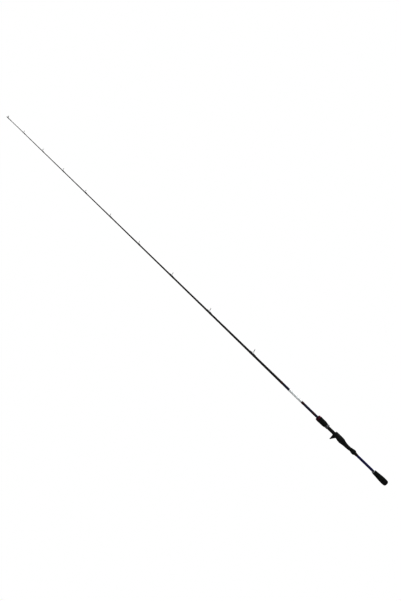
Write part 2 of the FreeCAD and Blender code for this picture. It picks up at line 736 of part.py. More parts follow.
def make_ring_pair(name, ring, station, height):
    """The metal holder of a guide's ring, the ceramic ring in it, and the room that the legs leave free."""
    inside = f"({ring} - holder_wall - {ring} * holder_wall_share)"
    half_width = f"(holder_width + {ring} * holder_width_share)"
    holder = new_body(f"{name}_holder")
    outline = [
        (f"- {half_width}", inside),
        (f"- {half_width}", f"{ring} - holder_edge", f"{half_width} * holder_crown"),
        (half_width, f"{ring} - holder_edge"),
        (half_width, inside),
    ]
    revolve(holder, outline)
    lean_ring(holder, station, height)
    insert = new_body(f"{name}_ring")
    outer_half = f"({half_width} + insert_overhang)"
    throat = f"({inside} - insert_depth - {ring} * insert_depth_share)"
    outline = [
        (f"- {outer_half}", inside),
        (outer_half, inside),
        (outer_half, f"{inside} - insert_edge", f"- {outer_half}"),
        (f"{outer_half} * throat_share", throat),
        (f"- {outer_half} * throat_share", throat, f"- {outer_half}"),
        (f"- {outer_half}", f"{inside} - insert_edge"),
    ]
    revolve(insert, outline)
    lean_ring(insert, station, height)
    room = new_body(f"{name}_room")
    revolve(room, [(f"- {ring}", "0"), (f"- {ring}", inside), (ring, inside), (ring, "0")])
    lean_ring(room, station, height)
    return holder, room


def ring_point(ring, station, height, degrees):
    """A point on the middle of the holder's wall, measured round from its lowest point."""
    radius = value_of(f"{ring} - (holder_wall + {ring} * holder_wall_share) * 0.5")
    turn = math.radians(degrees)
    flat = FreeCAD.Vector(0, radius * math.sin(turn), -radius * math.cos(turn))
    lean = FreeCAD.Rotation(ACROSS, -value_of("guide_lean"))
    centre = FreeCAD.Vector(value_of(at(station)), 0, value_of(height))
    return centre + lean.multVec(flat)


def add_foot(name, end, places, foot):
    """A foot, as a cone from under its leg to its thin tip, and the thread wrap over it."""
    under_leg, thin_tip, wrap_start = places
    if value_of(thin_tip) > value_of(under_leg):
        ends, radii = (under_leg, thin_tip), (foot, f"{foot} * foot_thin")
        wrap_ends = (wrap_start, f"{thin_tip} + wrap_overhang")
    else:
        ends, radii = (thin_tip, under_leg), (f"{foot} * foot_thin", foot)
        wrap_ends = (f"{thin_tip} - wrap_overhang", wrap_start)
    cone = cone_along(f"{name}_foot_{end}", *ends, *radii, blank_at(ends[0]))
    # the wrap's axis is lifted by half a foot, so that it covers the foot and stays thin under the blank
    lift = f"{foot} * 0.5"
    wrap_radii = [f"{blank_at(station)} + wrap_wall + {lift}" for station in wrap_ends]
    return cone, cone_along(f"{name}_wrap_{end}", *wrap_ends, *wrap_radii, lift)


def make_guide(number, feet):
    """A line guide: leaning ring on wire legs, and feet held on the blank by thread wraps."""
    name = f"guide_{number}"
    station, height, ring = f"guide{number}_station", f"guide{number}_height", f"guide{number}_ring"
    wire = f"(wire + {ring} * wire_share)"
    foot = f"(foot + {ring} * foot_share)"
    holder, room = make_ring_pair(name, ring, station, height)

    def along(radii, extra=0):
        """The station that lies this many ring radii from the ring."""
        return f"{station} + {ring} * ({radii}) + ({extra})"

    def landing(radii):
        """Where a leg meets the foot on top of the blank."""
        where = along(radii)
        lift = value_of(f"{blank_at(where)} + {foot} * leg_landing")
        return FreeCAD.Vector(value_of(at(where)), 0, lift)

    frame, wraps = [], []
    for end, under_leg, thin_tip, extra, wrap_start in TWO_FEET if feet == 2 else ONE_FOOT:
        places = (along(under_leg), along(thin_tip, extra), along(wrap_start))
        cone, wrap = add_foot(name, end, places, foot)
        frame.append(cone)
        wraps.append(wrap)
    for side, turn in (("left", "leg_angle"), ("right", "- leg_angle")):
        start = ring_point(ring, station, height, value_of(turn))
        frame.append(strut(f"{name}_leg_{side}", start, landing(REAR_LEG), wire))
    if feet == 2:
        bottom = ring_point(ring, station, height, 0)
        frame.append(strut(f"{name}_leg_front", bottom, landing(FRONT_LEG), wire))
    legs = cut(f"{name}_legs", join(f"{name}_wires", frame), room)
    back, front = along(-BLANK_REACH), along(BLANK_REACH)
    under = cone_along(f"{name}_blank", back, front, blank_at(back), blank_at(front))
    metal = cut(f"{name}_metal", join(f"{name}_joined", [legs, holder]), under)
    keep(metal, f"{name}_frame")
    bare = cut(f"{name}_bare", join(f"{name}_thread", wraps), under)
    keep(cut(f"{name}_bound", bare, metal), f"{name}_wraps")


def make_tip_top():
    """Tip-top: a closed tube over the blank's end that carries the last ring, with a wrap behind it."""
    ring = ("tip_ring_radius", "tip_ring_station", "tip_ring_height")
    holder, room = make_ring_pair("tip_top", *ring)
    tube = new_body("tip_top_tube")
    back, front = blank_at("tip_tube_back"), blank_at("tip_station")
    corners = [
        (at("tip_tube_back"), back),
        (at("tip_tube_back"), f"{back} + tip_tube_wall"),
        (at("overall_length - tip_rounding"), f"{back} + tip_tube_wall"),
        (at("overall_length"), f"{back} - tip_tube_wall"),
        (at("overall_length"), "0"),
        (at("tip_station"), "0"),
        (at("tip_station"), front),
    ]
    revolve(tube, corners)
    legs = []
    landing = FreeCAD.Vector(value_of(at("tip_leg_landing")), 0, value_of(f"{back} + tip_leg_sink"))
    for side, turn in (("left", "tip_leg_angle"), ("right", "- tip_leg_angle")):
        start = ring_point(*ring, value_of(turn))
        legs.append(strut(f"tip_top_leg_{side}", start, landing, "tip_tube_wall"))
    bottom = ring_point(*ring, 0)
    seat = FreeCAD.Vector(bottom.x, 0, value_of(f"{front} + tip_tube_wall * 0.5"))
    legs.append(strut("tip_top_post", bottom, seat, "tip_tube_wall"))
    wires = cut("tip_top_wires", join("tip_top_legs", legs), room)
    start = "tip_tube_back - overcut"
    inside = cone_along("tip_top_blank", start, "tip_station", blank_at(start), front)
    metal = join("tip_top_joined", [holder, tube, wires])
    keep(cut("tip_top_metal", metal, inside), "tip_top_frame")
    near, far = blank_at("tip_wrap_back"), blank_at("tip_wrap_front")
    corners = [
        (at("tip_wrap_back"), near),
        (at("tip_wrap_back"), f"{near} + wrap_edge"),
        (at("tip_wrap_back + wrap_rise"), f"{near} + wrap_wall"),
        (at("tip_wrap_front"), f"{far} + wrap_wall"),
        (at("tip_wrap_front"), far),
    ]
    revolve(new_body("tip_top_wrap"), corners)


def check_and_write():
    """Stops on any failed object or bad solid, then writes one STEP file for each piece."""
    document.recompute()
    for feature in document.Objects:
        if "Invalid" in feature.State or "Error" in feature.State:
            raise ValueError(f"{feature.Name} failed: {feature.State}")
    os.makedirs("parts", exist_ok=True)
    for piece in pieces:
        shape = piece.Shape
        if shape.isNull() or not shape.isValid() or not shape.Solids:
            raise ValueError(f"{piece.Label} has no valid solid")
        shape.exportStep(f"parts/{piece.Label}.step")
        box = shape.optimalBoundingBox()
        size = [round(length, 2) for length in (box.XLength, box.YLength, box.ZLength)]
        print(piece.Label, len(shape.Solids), round(shape.Volume, 1), size)


ACROSS = FreeCAD.Vector(0, 1, 0)
TO_TIP = FreeCAD.Rotation(ACROSS, -90)
pieces = []

fill_sheet()
make_blank()
make_butt()
make_rear_knob()
make_seat()
make_hood()
make_lock()
make_bands()
for number, guide in enumerate(GUIDES, start=1):
    make_guide(number, guide[3])
make_tip_top()
# holders and the tip-top's tube are parts of their frames, and a room only shapes one
inside_frames = ("_holder", "_tube", "_room")
for feature in document.Objects:
    if feature.TypeId == "PartDesign::Body" and not feature.Label.endswith(inside_frames):
        pieces.append(feature)
check_and_write()
print(len(pieces), "pieces")
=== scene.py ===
# %% [markdown]
# # A casting rod with a trigger seat
# The rod's sizes and joints come from its CAD model, which is loaded as a fixed frame. This lesson gives each
# piece its final surface and finish: turned grips and rings, a moulded seat, bent guide frames, thread
# wraps, and then the light and the camera. The rod lies along X with its tip at -X and its butt at +X. The
# guides are on +Z and the trigger points to -Z.

# %% Load the frame
import json
import math

import bmesh
import bpy
from mathutils import Matrix, Vector


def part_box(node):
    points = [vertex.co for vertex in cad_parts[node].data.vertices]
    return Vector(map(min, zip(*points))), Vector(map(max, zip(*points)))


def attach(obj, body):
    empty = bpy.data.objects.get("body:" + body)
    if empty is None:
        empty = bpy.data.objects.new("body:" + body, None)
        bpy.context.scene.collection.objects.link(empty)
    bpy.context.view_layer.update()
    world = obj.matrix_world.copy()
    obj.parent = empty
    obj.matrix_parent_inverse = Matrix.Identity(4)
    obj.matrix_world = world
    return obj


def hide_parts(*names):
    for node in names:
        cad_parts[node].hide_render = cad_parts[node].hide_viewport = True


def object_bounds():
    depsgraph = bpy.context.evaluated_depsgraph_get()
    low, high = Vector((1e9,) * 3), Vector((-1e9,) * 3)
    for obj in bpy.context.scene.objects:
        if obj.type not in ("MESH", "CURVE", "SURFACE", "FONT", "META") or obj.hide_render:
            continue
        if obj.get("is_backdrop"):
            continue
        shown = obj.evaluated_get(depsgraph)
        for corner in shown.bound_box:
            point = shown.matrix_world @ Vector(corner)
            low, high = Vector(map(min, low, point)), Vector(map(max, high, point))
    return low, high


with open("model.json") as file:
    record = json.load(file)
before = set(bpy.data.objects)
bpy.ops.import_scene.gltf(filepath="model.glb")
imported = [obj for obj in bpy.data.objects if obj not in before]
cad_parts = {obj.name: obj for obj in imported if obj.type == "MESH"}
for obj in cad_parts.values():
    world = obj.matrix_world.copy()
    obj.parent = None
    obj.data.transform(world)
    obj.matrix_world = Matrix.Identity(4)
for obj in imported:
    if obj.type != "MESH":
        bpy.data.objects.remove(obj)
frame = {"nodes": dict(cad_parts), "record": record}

MM = 0.001
nodes = frame["nodes"]
scene = bpy.context.scene
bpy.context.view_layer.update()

# %% [markdown]
# ## Where things are
# Every place comes from the frame. A turned piece is known by its two ends and its radius. The blank's radius
# is needed at many places, so its taper is read once from the blank itself: its mesh has rings of corners, and
# a ring where the slope changes is a knot of the taper.

# %% Places along the rod
def ends(node):
    """The butt-side end and the tip-side end of a CAD node, as x."""
    low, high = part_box(node)
    return high.x, low.x


def reach(node):
    """The largest reach of a CAD node across the rod."""
    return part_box(node)[1].y


SAME_SLOPE = 0.0002
rings = {}
for vertex in nodes["blank"].data.vertices:
    if vertex.normal.y * vertex.co.y + vertex.normal.z * vertex.co.z <= 0:
        continue  # a corner of the bore, which faces inwards
    place = round(vertex.co.x, 5)
    rings[place] = max(rings.get(place, 0), math.hypot(vertex.co.y, vertex.co.z))
rings = sorted(rings.items())
rings = [(x, r) for x, r in rings if r > 0.99 * rings[0][1]]  # leaves out the bore's blind end
knots = [rings[0]]
for before, here, after in zip(rings, rings[1:], rings[2:]):
    slope_before = (here[1] - before[1]) / (here[0] - before[0])
    slope_after = (after[1] - here[1]) / (after[0] - here[0])
    if abs(slope_after - slope_before) > SAME_SLOPE:
        knots.append(here)
knots.append(rings[-1])


def blank_radius(x):
    """The blank's outside radius at x."""
    for (near, near_radius), (far, far_radius) in zip(knots, knots[1:]):
        if x <= far:
            share = max(0, (x - near) / (far - near))
            return near_radius + share * (far_radius - near_radius)
    return knots[-1][1]


print("the blank's taper in mm:", [(round(x / MM), round(r / MM, 2)) for x, r in knots])

# %% [markdown]
# ## One helper for nodes
# Materials and Geometry Nodes are both trees of nodes. One function adds a node, sets its properties, and
# fills its sockets, each with a number, another node, or one of another node's sockets.

# %% Add a node
def linear(code):
    """An sRGB hex colour as Blender's linear numbers."""
    parts = [int(code[start:start + 2], 16) / 255 for start in (1, 3, 5)]
    return tuple(p / 12.92 if p <= 0.04045 else ((p + 0.055) / 1.055) ** 2.4 for p in parts) + (1.0,)


def add(tree, kind, inputs=None, ramp=None, **settings):
    """One node: settings are its properties, inputs its sockets, ramp its stops as (position, hex colour)."""
    node = tree.nodes.new(kind)
    for name, value in settings.items():
        setattr(node, name, value)
    for name, value in (inputs or {}).items():
        if isinstance(value, bpy.types.Node):
            value = value.outputs[0]
        if isinstance(value, bpy.types.NodeSocket):
            tree.links.new(value, node.inputs[name])
        else:
            node.inputs[name].default_value = value
    for number, (position, code) in enumerate(ramp or []):
        stops = node.color_ramp.elements
        stop = stops[number] if number < len(stops) else stops.new(position)
        stop.position, stop.color = position, linear(code)
    return node


# %% [markdown]
# A material is a Principled shader with its own numbers, and links for what varies over the surface. Patterns
# read Object coordinates. All pieces sit at the origin, so these are metres in the rod's own frame, and a
# pattern's scale is one over its real size.

# %% Start a material
def finish(name, colour, **numbers):
    """A new material: its Principled shader has this colour and these numbers on its own sockets."""
    material = bpy.data.materials.new(name)
    material.use_nodes = True
    shader = material.node_tree.nodes["Principled BSDF"]
    shader.inputs["Base Color"].default_value = linear(colour)
    for words, value in numbers.items():
        shader.inputs[words.replace("_", " ")].default_value = value
    return material, material.node_tree, shader


def surface(tree, shader, colour=None, roughness=None, height=None, depth=0.05 * MM, strength=0.5):
    """Links what varies over a surface to its shader, the height by way of a bump of a real depth."""
    if colour:
        tree.links.new(colour.outputs["Color"], shader.inputs["Base Color"])
    if roughness:
        tree.links.new(roughness.outputs["Result"], shader.inputs["Roughness"])
    if height:
        bump = add(tree, "ShaderNodeBump", {"Strength": strength, "Distance": depth, "Height": height})
        tree.links.new(bump.outputs["Normal"], shader.inputs["Normal"])


# %% [markdown]
# ## EVA foam
# The grips are closed-cell EVA foam, turned and sanded: matt black with fine open pores. A Voronoi pattern
# gives the cells and noise the sanded nap. Both dent the surface, and wide soft patches change its grey a
# little, as handling does. Real cells are about 0.3 mm, and are drawn twice as wide so that they show.

# %% Foam
CELL = 0.6 * MM
HANDLED_PATCH = 9 * MM
foam, tree, shader = finish("eva_foam_sanded", "#1A1D1B", Roughness=0.9, Specular_IOR_Level=0.1)
place = add(tree, "ShaderNodeTexCoord").outputs["Object"]
cells = add(tree, "ShaderNodeTexVoronoi", {"Vector": place, "Scale": 1 / CELL})
nap = add(tree, "ShaderNodeTexNoise", {"Vector": place, "Scale": 3 / CELL, "Detail": 3.0})
patches = add(tree, "ShaderNodeTexNoise", {"Vector": place, "Scale": 1 / HANDLED_PATCH, "Detail": 2.0})
grey = add(tree, "ShaderNodeValToRGB", {"Fac": patches}, ramp=[(0.35, "#141715"), (0.65, "#2A2E2C")])
dented = add(tree, "ShaderNodeMath", {0: cells, 1: nap}, operation="MULTIPLY")
surface(tree, shader, colour=grey, height=dented, depth=0.1 * MM, strength=0.6)
print("foam cell in mm", CELL / MM)

# %% [markdown]
# ## Moulded nylon and rubber
# The seat, the hood's carrier and the lock nut are glass-filled nylon out of a sparked mould: black and satin,
# with a fine even grain. The butt cap is moulded rubber, duller and more open. The same grain with other
# numbers gives both, so one function makes them.

# %% Nylon and rubber
SHEEN_PATCH = 7 * MM


def moulded(name, dark, light, grain, depth, smooth, rough):
    """A moulded skin: a spark-eroded grain, and a roughness that wanders between smooth and rough."""
    material, tree, shader = finish(name, dark, Specular_IOR_Level=0.16)
    place = add(tree, "ShaderNodeTexCoord").outputs["Object"]
    sparks = add(tree, "ShaderNodeTexNoise", {"Vector": place, "Scale": 1 / grain, "Detail": 2.0})
    wander = add(tree, "ShaderNodeTexNoise", {"Vector": place, "Scale": 1 / SHEEN_PATCH, "Detail": 2.0})
    tone = add(tree, "ShaderNodeValToRGB", {"Fac": wander}, ramp=[(0.35, dark), (0.65, light)])
    sheen = add(tree, "ShaderNodeMapRange", {"Value": wander, "To Min": smooth, "To Max": rough})
    surface(tree, shader, colour=tone, roughness=sheen, height=sparks, depth=depth)
    return material


nylon = moulded("glass_filled_nylon_moulded", "#141615", "#212523", 0.3 * MM, 0.03 * MM, 0.34, 0.5)
rubber = moulded("rubber_moulded", "#131313", "#1C1C1C", 0.5 * MM, 0.05 * MM, 0.6, 0.8)
print("moulded:", nylon.name, rubber.name)

# %% [markdown]
# ## The clear-coated blank
# The blank is rolled carbon cloth under tinted varnish. The stretch behind the seat is candy blue, the
# stretches round the label are a darker blue, and the rest is black. The tape that presses the cloth while it
# cures leaves a faint spiral. The spiral's phase is the distance along the rod over the tape's step, plus the
# angle round it. The clear coat is a second, smooth layer in the shader.

# %% Carbon
TAPE_STEP = 3 * MM
STRAND_LENGTH, STRAND_WIDTH = 6 * MM, 0.4 * MM
carbon, tree, shader = finish("carbon_tube_clear_coated", "#030304", Specular_IOR_Level=0.1, Coat_Weight=0.3)
shader.inputs["Coat Roughness"].default_value = 0.08
place = add(tree, "ShaderNodeTexCoord").outputs["Object"]
axes = add(tree, "ShaderNodeSeparateXYZ", {"Vector": place})
back, front = ends("blank")
along = add(tree, "ShaderNodeMapRange", {"Value": axes.outputs["X"], "From Min": front, "From Max": back})


def share(x):
    """A place along the blank as a share of its length, from the tip."""
    return (x - front) / (back - front)


BLACK, CANDY_BLUE, DEEP_BLUE = "#060607", "#05054C", "#050533"
# each stop starts a stretch that runs on towards the butt
stops = [
    (0.0, BLACK),
    (share(ends("front_trim_band")[0]), DEEP_BLUE),
    (share(ends("foregrip")[1]), BLACK),
    (share(ends("rear_check")[0] - 2 * MM), CANDY_BLUE),
    (share(ends("butt_check")[1]), BLACK),
]
paint = add(tree, "ShaderNodeValToRGB", {"Fac": along.outputs["Result"]}, ramp=stops)
paint.color_ramp.interpolation = "CONSTANT"
angle = add(tree, "ShaderNodeMath", {0: axes.outputs["Y"], 1: axes.outputs["Z"]}, operation="ARCTAN2")
turns = add(tree, "ShaderNodeMath", {0: axes.outputs["X"], 1: math.tau / TAPE_STEP}, operation="MULTIPLY")
phase = add(tree, "ShaderNodeMath", {0: turns, 1: angle}, operation="ADD")
spiral = add(tree, "ShaderNodeMath", {0: phase}, operation="SINE")
strand_size = (1 / STRAND_LENGTH, 1 / STRAND_WIDTH, 1 / STRAND_WIDTH)
fibres = add(tree, "ShaderNodeMapping", {"Vector": place, "Scale": strand_size})
strands = add(tree, "ShaderNodeTexNoise", {"Vector": fibres, "Scale": 1.0, "Detail": 3.0})
gleam = add(tree, "ShaderNodeMapRange", {"Value": strands, "To Min": 0.25, "To Max": 0.5})
surface(tree, shader, colour=paint, roughness=gleam, height=spiral, depth=0.02 * MM, strength=0.4)
print("blue from x", round(ends("rear_check")[0], 3), "to", round(ends("butt_check")[1], 3))

# %% [markdown]
# ## Turned and anodised metal
# The hood's shell, the winding checks and the front ring are turned aluminium, and the guide frames are wire
# and strip of smoked stainless steel. Turning leaves fine grooves round the axis, so noise is stretched round
# it: the pattern changes quickly along X and slowly across. The grooves show as changes of roughness.

# %% Metals
GROOVE_RUN = 8 * MM


def turned_metal(name, colour, smooth, rough, groove=0.15 * MM, depth=0.004 * MM):
    """Turned metal: fine grooves round the rod's axis, polished where smooth is low."""
    material, tree, shader = finish(name, colour, Metallic=1.0)
    place = add(tree, "ShaderNodeTexCoord").outputs["Object"]
    size = (1 / groove, 1 / GROOVE_RUN, 1 / GROOVE_RUN)
    stretched = add(tree, "ShaderNodeMapping", {"Vector": place, "Scale": size})
    grooves = add(tree, "ShaderNodeTexNoise", {"Vector": stretched, "Scale": 1.0, "Detail": 3.0})
    sheen = add(tree, "ShaderNodeMapRange", {"Value": grooves, "To Min": smooth, "To Max": rough})
    surface(tree, shader, roughness=sheen, height=grooves, depth=depth)
    return material


hood_metal = turned_metal("aluminium_grey_anodised_satin", "#5A5C5E", 0.2, 0.32)
silver = turned_metal("aluminium_turned_polished", "#7A7C7F", 0.1, 0.18)
gunmetal = turned_metal("aluminium_gunmetal_anodised", "#3C332D", 0.3, 0.45)
wine = turned_metal("aluminium_wine_anodised", "#4A1C2C", 0.28, 0.42)
smoked_steel = turned_metal("stainless_steel_smoked", "#424346", 0.2, 0.36, groove=0.4 * MM)
print("metals:", [m.name for m in (hood_metal, silver, gunmetal, wine, smoked_steel)])

# %% [markdown]
# ## Ceramic, thread, foil and glued foam
# The guide rings are polished dark ceramic. It is a dense glassy oxide, so its IOR is higher than plastic's.
# The wraps are nylon thread soaked in clear varnish: its strands are real geometry, and a fine noise dents
# each strand a little. The label is plain silver foil with a fine sparkle under the same varnish.

# %% The other finishes
CLOUD, FIBRE, FLAKE = 0.8 * MM, 0.5 * MM, 0.35 * MM
ceramic, tree, shader = finish("alumina_ceramic_polished", "#101113", Roughness=0.12, IOR=1.76)
place = add(tree, "ShaderNodeTexCoord").outputs["Object"]
cloud = add(tree, "ShaderNodeTexNoise", {"Vector": place, "Scale": 1 / CLOUD, "Detail": 3.0})
tone = add(tree, "ShaderNodeValToRGB", {"Fac": cloud}, ramp=[(0.3, "#0D0E10"), (0.7, "#18191B")])
surface(tree, shader, colour=tone)


def varnished(name, dark, light, metallic):
    """Thread under varnish: its tone changes from strand to strand, with a glossy coat over it."""
    material, tree, shader = finish(name, dark, Roughness=0.45, Metallic=metallic, Coat_Weight=0.3)
    shader.inputs["Coat Roughness"].default_value = 0.06
    place = add(tree, "ShaderNodeTexCoord").outputs["Object"]
    strands = add(tree, "ShaderNodeTexNoise", {"Vector": place, "Scale": 1 / FIBRE, "Detail": 2.0})
    tone = add(tree, "ShaderNodeValToRGB", {"Fac": strands}, ramp=[(0.35, dark), (0.65, light)])
    surface(tree, shader, colour=tone, height=strands, depth=0.02 * MM, strength=0.3)
    return material


black_thread = varnished("nylon_thread_black_varnished", "#030303", "#070708", 0.0)
red_thread = varnished("metallic_thread_dark_red_varnished", "#2E040E", "#480A1A", 0.3)

foil, tree, shader = finish("silver_foil_varnished", "#D2D5D7", Metallic=0.4, Coat_Weight=0.2)
shader.inputs["Coat Roughness"].default_value = 0.1
place = add(tree, "ShaderNodeTexCoord").outputs["Object"]
flakes = add(tree, "ShaderNodeTexVoronoi", {"Vector": place, "Scale": 1 / FLAKE})
tone = add(tree, "ShaderNodeValToRGB", {"Fac": flakes.outputs["Color"]}, ramp=[(0.0, "#CDD1D3"), (1.0, "#DDE0E1")])
sheen = add(tree, "ShaderNodeMapRange", {"Value": flakes.outputs["Color"], "To Min": 0.42, "To Max": 0.55})
surface(tree, shader, colour=tone, roughness=sheen)

glued_foam = moulded("rigid_foam_glued", "#4A443C", "#6A6358", 0.8 * MM, 0.1 * MM, 0.6, 0.9)
print("also:", ceramic.name, foil.name, glued_foam.name)

# %% [markdown]
# ## Turning
# Grips, rings and caps are turned round the rod's axis. Each is drawn as a closed outline of corners, (x,
# radius, rounding). A corner with a rounding becomes a short curve, as real edges do, and a large rounding
# turns two straight flanks into one flowing shape. The outline is then spun into a ring of quads.

# %% Turn an outline
SIDES = 96
ROUNDING_STEPS = 8


def rounded(corners):
    """The outline's points, with each corner's rounding drawn as a short curve."""
    points = []
    for number, (x, r, rounding) in enumerate(corners):
        corner = Vector((x, r))
        if not rounding:
            points.append(corner)
            continue
        before = Vector(corners[number - 1][:2]) - corner
        after = Vector(corners[(number + 1) % len(corners)][:2]) - corner
        start = corner + before.normalized() * min(rounding, before.length * 0.49)
        end = corner + after.normalized() * min(rounding, after.length * 0.49)
        for step in range(ROUNDING_STEPS + 1):
            t = step / ROUNDING_STEPS
            points.append(start * (1 - t) ** 2 + corner * 2 * t * (1 - t) + end * t**2)
    return points


def keep_mesh(name, builder):
    """Merges a bmesh's doubles, points its faces outwards and keeps it as an object at the origin."""
    bmesh.ops.remove_doubles(builder, verts=builder.verts, dist=0.002 * MM)
    bmesh.ops.recalc_face_normals(builder, faces=builder.faces)
    mesh = bpy.data.meshes.new(name)
    builder.to_mesh(mesh)
    builder.free()
    piece = bpy.data.objects.new(name, mesh)
    scene.collection.objects.link(piece)
    smooth(piece)
    return piece


def smooth(piece, angle=35):
    """Smooth shading, with an edge kept crisp where its faces meet at more than this angle."""
    piece.data.shade_smooth()
    piece.data.set_sharp_from_angle(angle=math.radians(angle))


def turn(name, corners, lift=0.0, sides=SIDES):
    """A closed outline spun round an axis that lies lift above the rod's."""
    builder = bmesh.new()
    outline = rounded(corners)
    rings = []
    for side in range(sides):
        a = math.tau * side / sides
        rings.append([builder.verts.new((p.x, p.y * math.sin(a), lift + p.y * math.cos(a))) for p in outline])
    for side, ring in enumerate(rings):
        following = rings[(side + 1) % sides]
        for number in range(len(outline)):
            other = (number + 1) % len(outline)
            if outline[number].y < 1e-9 and outline[other].y < 1e-9:
                continue
            builder.faces.new((ring[number], ring[other], following[other], following[number]))
    return keep_mesh(name, builder)


def hand_over(piece, material, slot, body, *replaced):
    """Gives a piece its material and body, and hides the CAD nodes that it stands for; slot is not used."""
    if material:
        piece.data.materials.clear()
        piece.data.materials.append(material)
    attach(piece, body)
    if replaced:
        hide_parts(*replaced)
    places = [vertex.co.x for vertex in piece.data.vertices]
    print(f"{piece.name}: {len(piece.data.polygons)} faces, x {min(places):.4f} to {max(places):.4f}")


# %% [markdown]
# ## The butt
# From the end: a rubber cap with a domed end and a shallow groove where it meets the foam, then a foam grip
# that swells at the butt and slims towards the blank, then a small polished ring.

# %% Butt cap, butt grip and its ring
bore = blank_radius(ends("butt_grip")[0])
end, seam = ends("butt_cap")
widest = reach("butt_cap")
cap = turn("butt_cap_domed", [
    (end, 0, 0),
    (end, widest * 0.62, 3 * MM),
    (seam + 5 * MM, widest * 0.97, 5 * MM),
    (seam + 0.8 * MM, widest, 0.3 * MM),
    (seam + 0.5 * MM, widest - 0.35 * MM, 0.1 * MM),
    (seam, widest - 0.1 * MM, 0.1 * MM),
    (seam, bore, 0),
    (ends("blank")[0], bore, 0),
    (ends("blank")[0], 0, 0),
])
hand_over(cap, rubber, "butt_rubber", "root", "butt_cap")

back, front = ends("butt_grip")
widest = reach("butt_grip")
grip = turn("butt_grip_turned", [
    (back, bore, 0),
    (back, widest * 0.955, 0.4 * MM),
    (back - 8 * MM, widest * 1.005, 8 * MM),
    (back - 24 * MM, widest * 0.945, 12 * MM),
    (front + 9 * MM, widest * 0.755, 8 * MM),
    (front, widest * 0.72, 0.5 * MM),
    (front, bore, 0),
])
hand_over(grip, foam, "grip_foam", "root", "butt_grip")

back, front = ends("butt_check")
widest = reach("butt_check")
ring = turn("butt_check_turned", [
    (back, bore, 0),
    (back, widest - 0.2 * MM, 0.2 * MM),
    (back - 0.6 * MM, widest, 0.3 * MM),
    (back - 3.2 * MM, widest * 0.96, 2 * MM),
    (front + 1.2 * MM, bore + 1.1 * MM, 1.5 * MM),
    (front + 0.9 * MM, bore + 0.9 * MM, 0.2 * MM),
    (front, bore + 0.5 * MM, 0.15 * MM),
    (front, bore, 0),
])
hand_over(ring, silver, "silver_ring", "root", "butt_check")

# %% [markdown]
# ## The rear knob
# A short foam knob, fullest near its back, with a small anodised ring behind it. Large roundings make its
# flanks flow into one another.

# %% Rear knob and its ring
back, front = ends("rear_knob")
widest = reach("rear_knob")
knob = turn("rear_knob_turned", [
    (back, bore, 0),
    (back, widest * 0.72, 0.5 * MM),
    (back - 5.5 * MM, widest * 1.02, 6 * MM),
    (back - 12 * MM, widest * 1.02, 5 * MM),
    (front + 6 * MM, widest * 0.8, 6 * MM),
    (front, widest * 0.745, 0.4 * MM),
    (front, bore, 0),
])
hand_over(knob, foam, "grip_foam", "root", "rear_knob")

back, front = ends("rear_check")
widest = reach("rear_check")
ring = turn("rear_check_turned", [
    (back, bore, 0),
    (back, bore + 0.45 * MM, 0.15 * MM),
    (back - 1.2 * MM, bore + 0.75 * MM, 0.2 * MM),
    (back - 1.4 * MM, bore + 0.55 * MM, 0.1 * MM),
    (back - 1.8 * MM, bore + 0.6 * MM, 0.1 * MM),
    (back - 2.0 * MM, bore + 0.9 * MM, 0.2 * MM),
    (front + 1.0 * MM, widest, 0.4 * MM),
    (front, widest, 0.2 * MM),
    (front, bore, 0),
])
hand_over(ring, gunmetal, "grey_ring", "root", "rear_check")

# %% [markdown]
# ## The foregrip and its front ring
# The foregrip is glued over the lock nut and turns with it, so both pieces ride on the body "lock". The front
# ring has a bevelled nose and a thin inner lip that clears the blank.

# %% Foregrip and front ring
back, front = ends("foregrip")
widest = reach("foregrip")
nut_radius = reach("lock_nut")
grip = turn("foregrip_turned", [
    (back, nut_radius, 0),
    (back, widest * 0.87, 0.5 * MM),
    (back - 7 * MM, widest * 0.97, 7 * MM),
    (back - 24 * MM, widest * 0.962, 4 * MM),
    (front + 3.5 * MM, widest * 1.0, 2.5 * MM),
    (front, widest * 0.995, 0.6 * MM),
    (front, nut_radius, 0),
])
hand_over(grip, foam, "grip_foam", "lock", "foregrip")

back, front = ends("front_ring")
widest = reach("front_ring")
lip = bore + 0.78 * MM
NUT_BORE = 7.5 * MM
ring = turn("front_ring_turned", [
    (back, NUT_BORE, 0),
    (back, widest - 0.15 * MM, 0.15 * MM),
    (back - 1.0 * MM, widest, 0.4 * MM),
    (back - 5.6 * MM, widest, 0.2 * MM),
    (back - 6.0 * MM, widest - 0.35 * MM, 0.15 * MM),
    (back - 6.5 * MM, widest - 0.35 * MM, 0.15 * MM),
    (back - 6.9 * MM, widest - 0.05 * MM, 0.2 * MM),
    (front + 1.4 * MM, widest - 0.6 * MM, 1.2 * MM),
    (front, widest * 0.78, 0.4 * MM),
    (front, lip, 0.3 * MM),
    (front + 3 * MM, lip, 0),
    (front + 3 * MM, NUT_BORE, 0),
])
hand_over(ring, wine, "wine_ring", "lock", "front_ring")

# %% [markdown]
# ## The hood's metal shell
# A thin turned shell covers the sliding hood. Its axis lies a little above the rod's, so the turning is lifted
# by that much. The mouth has a rolled lip, and the foot of the reel goes in under it.

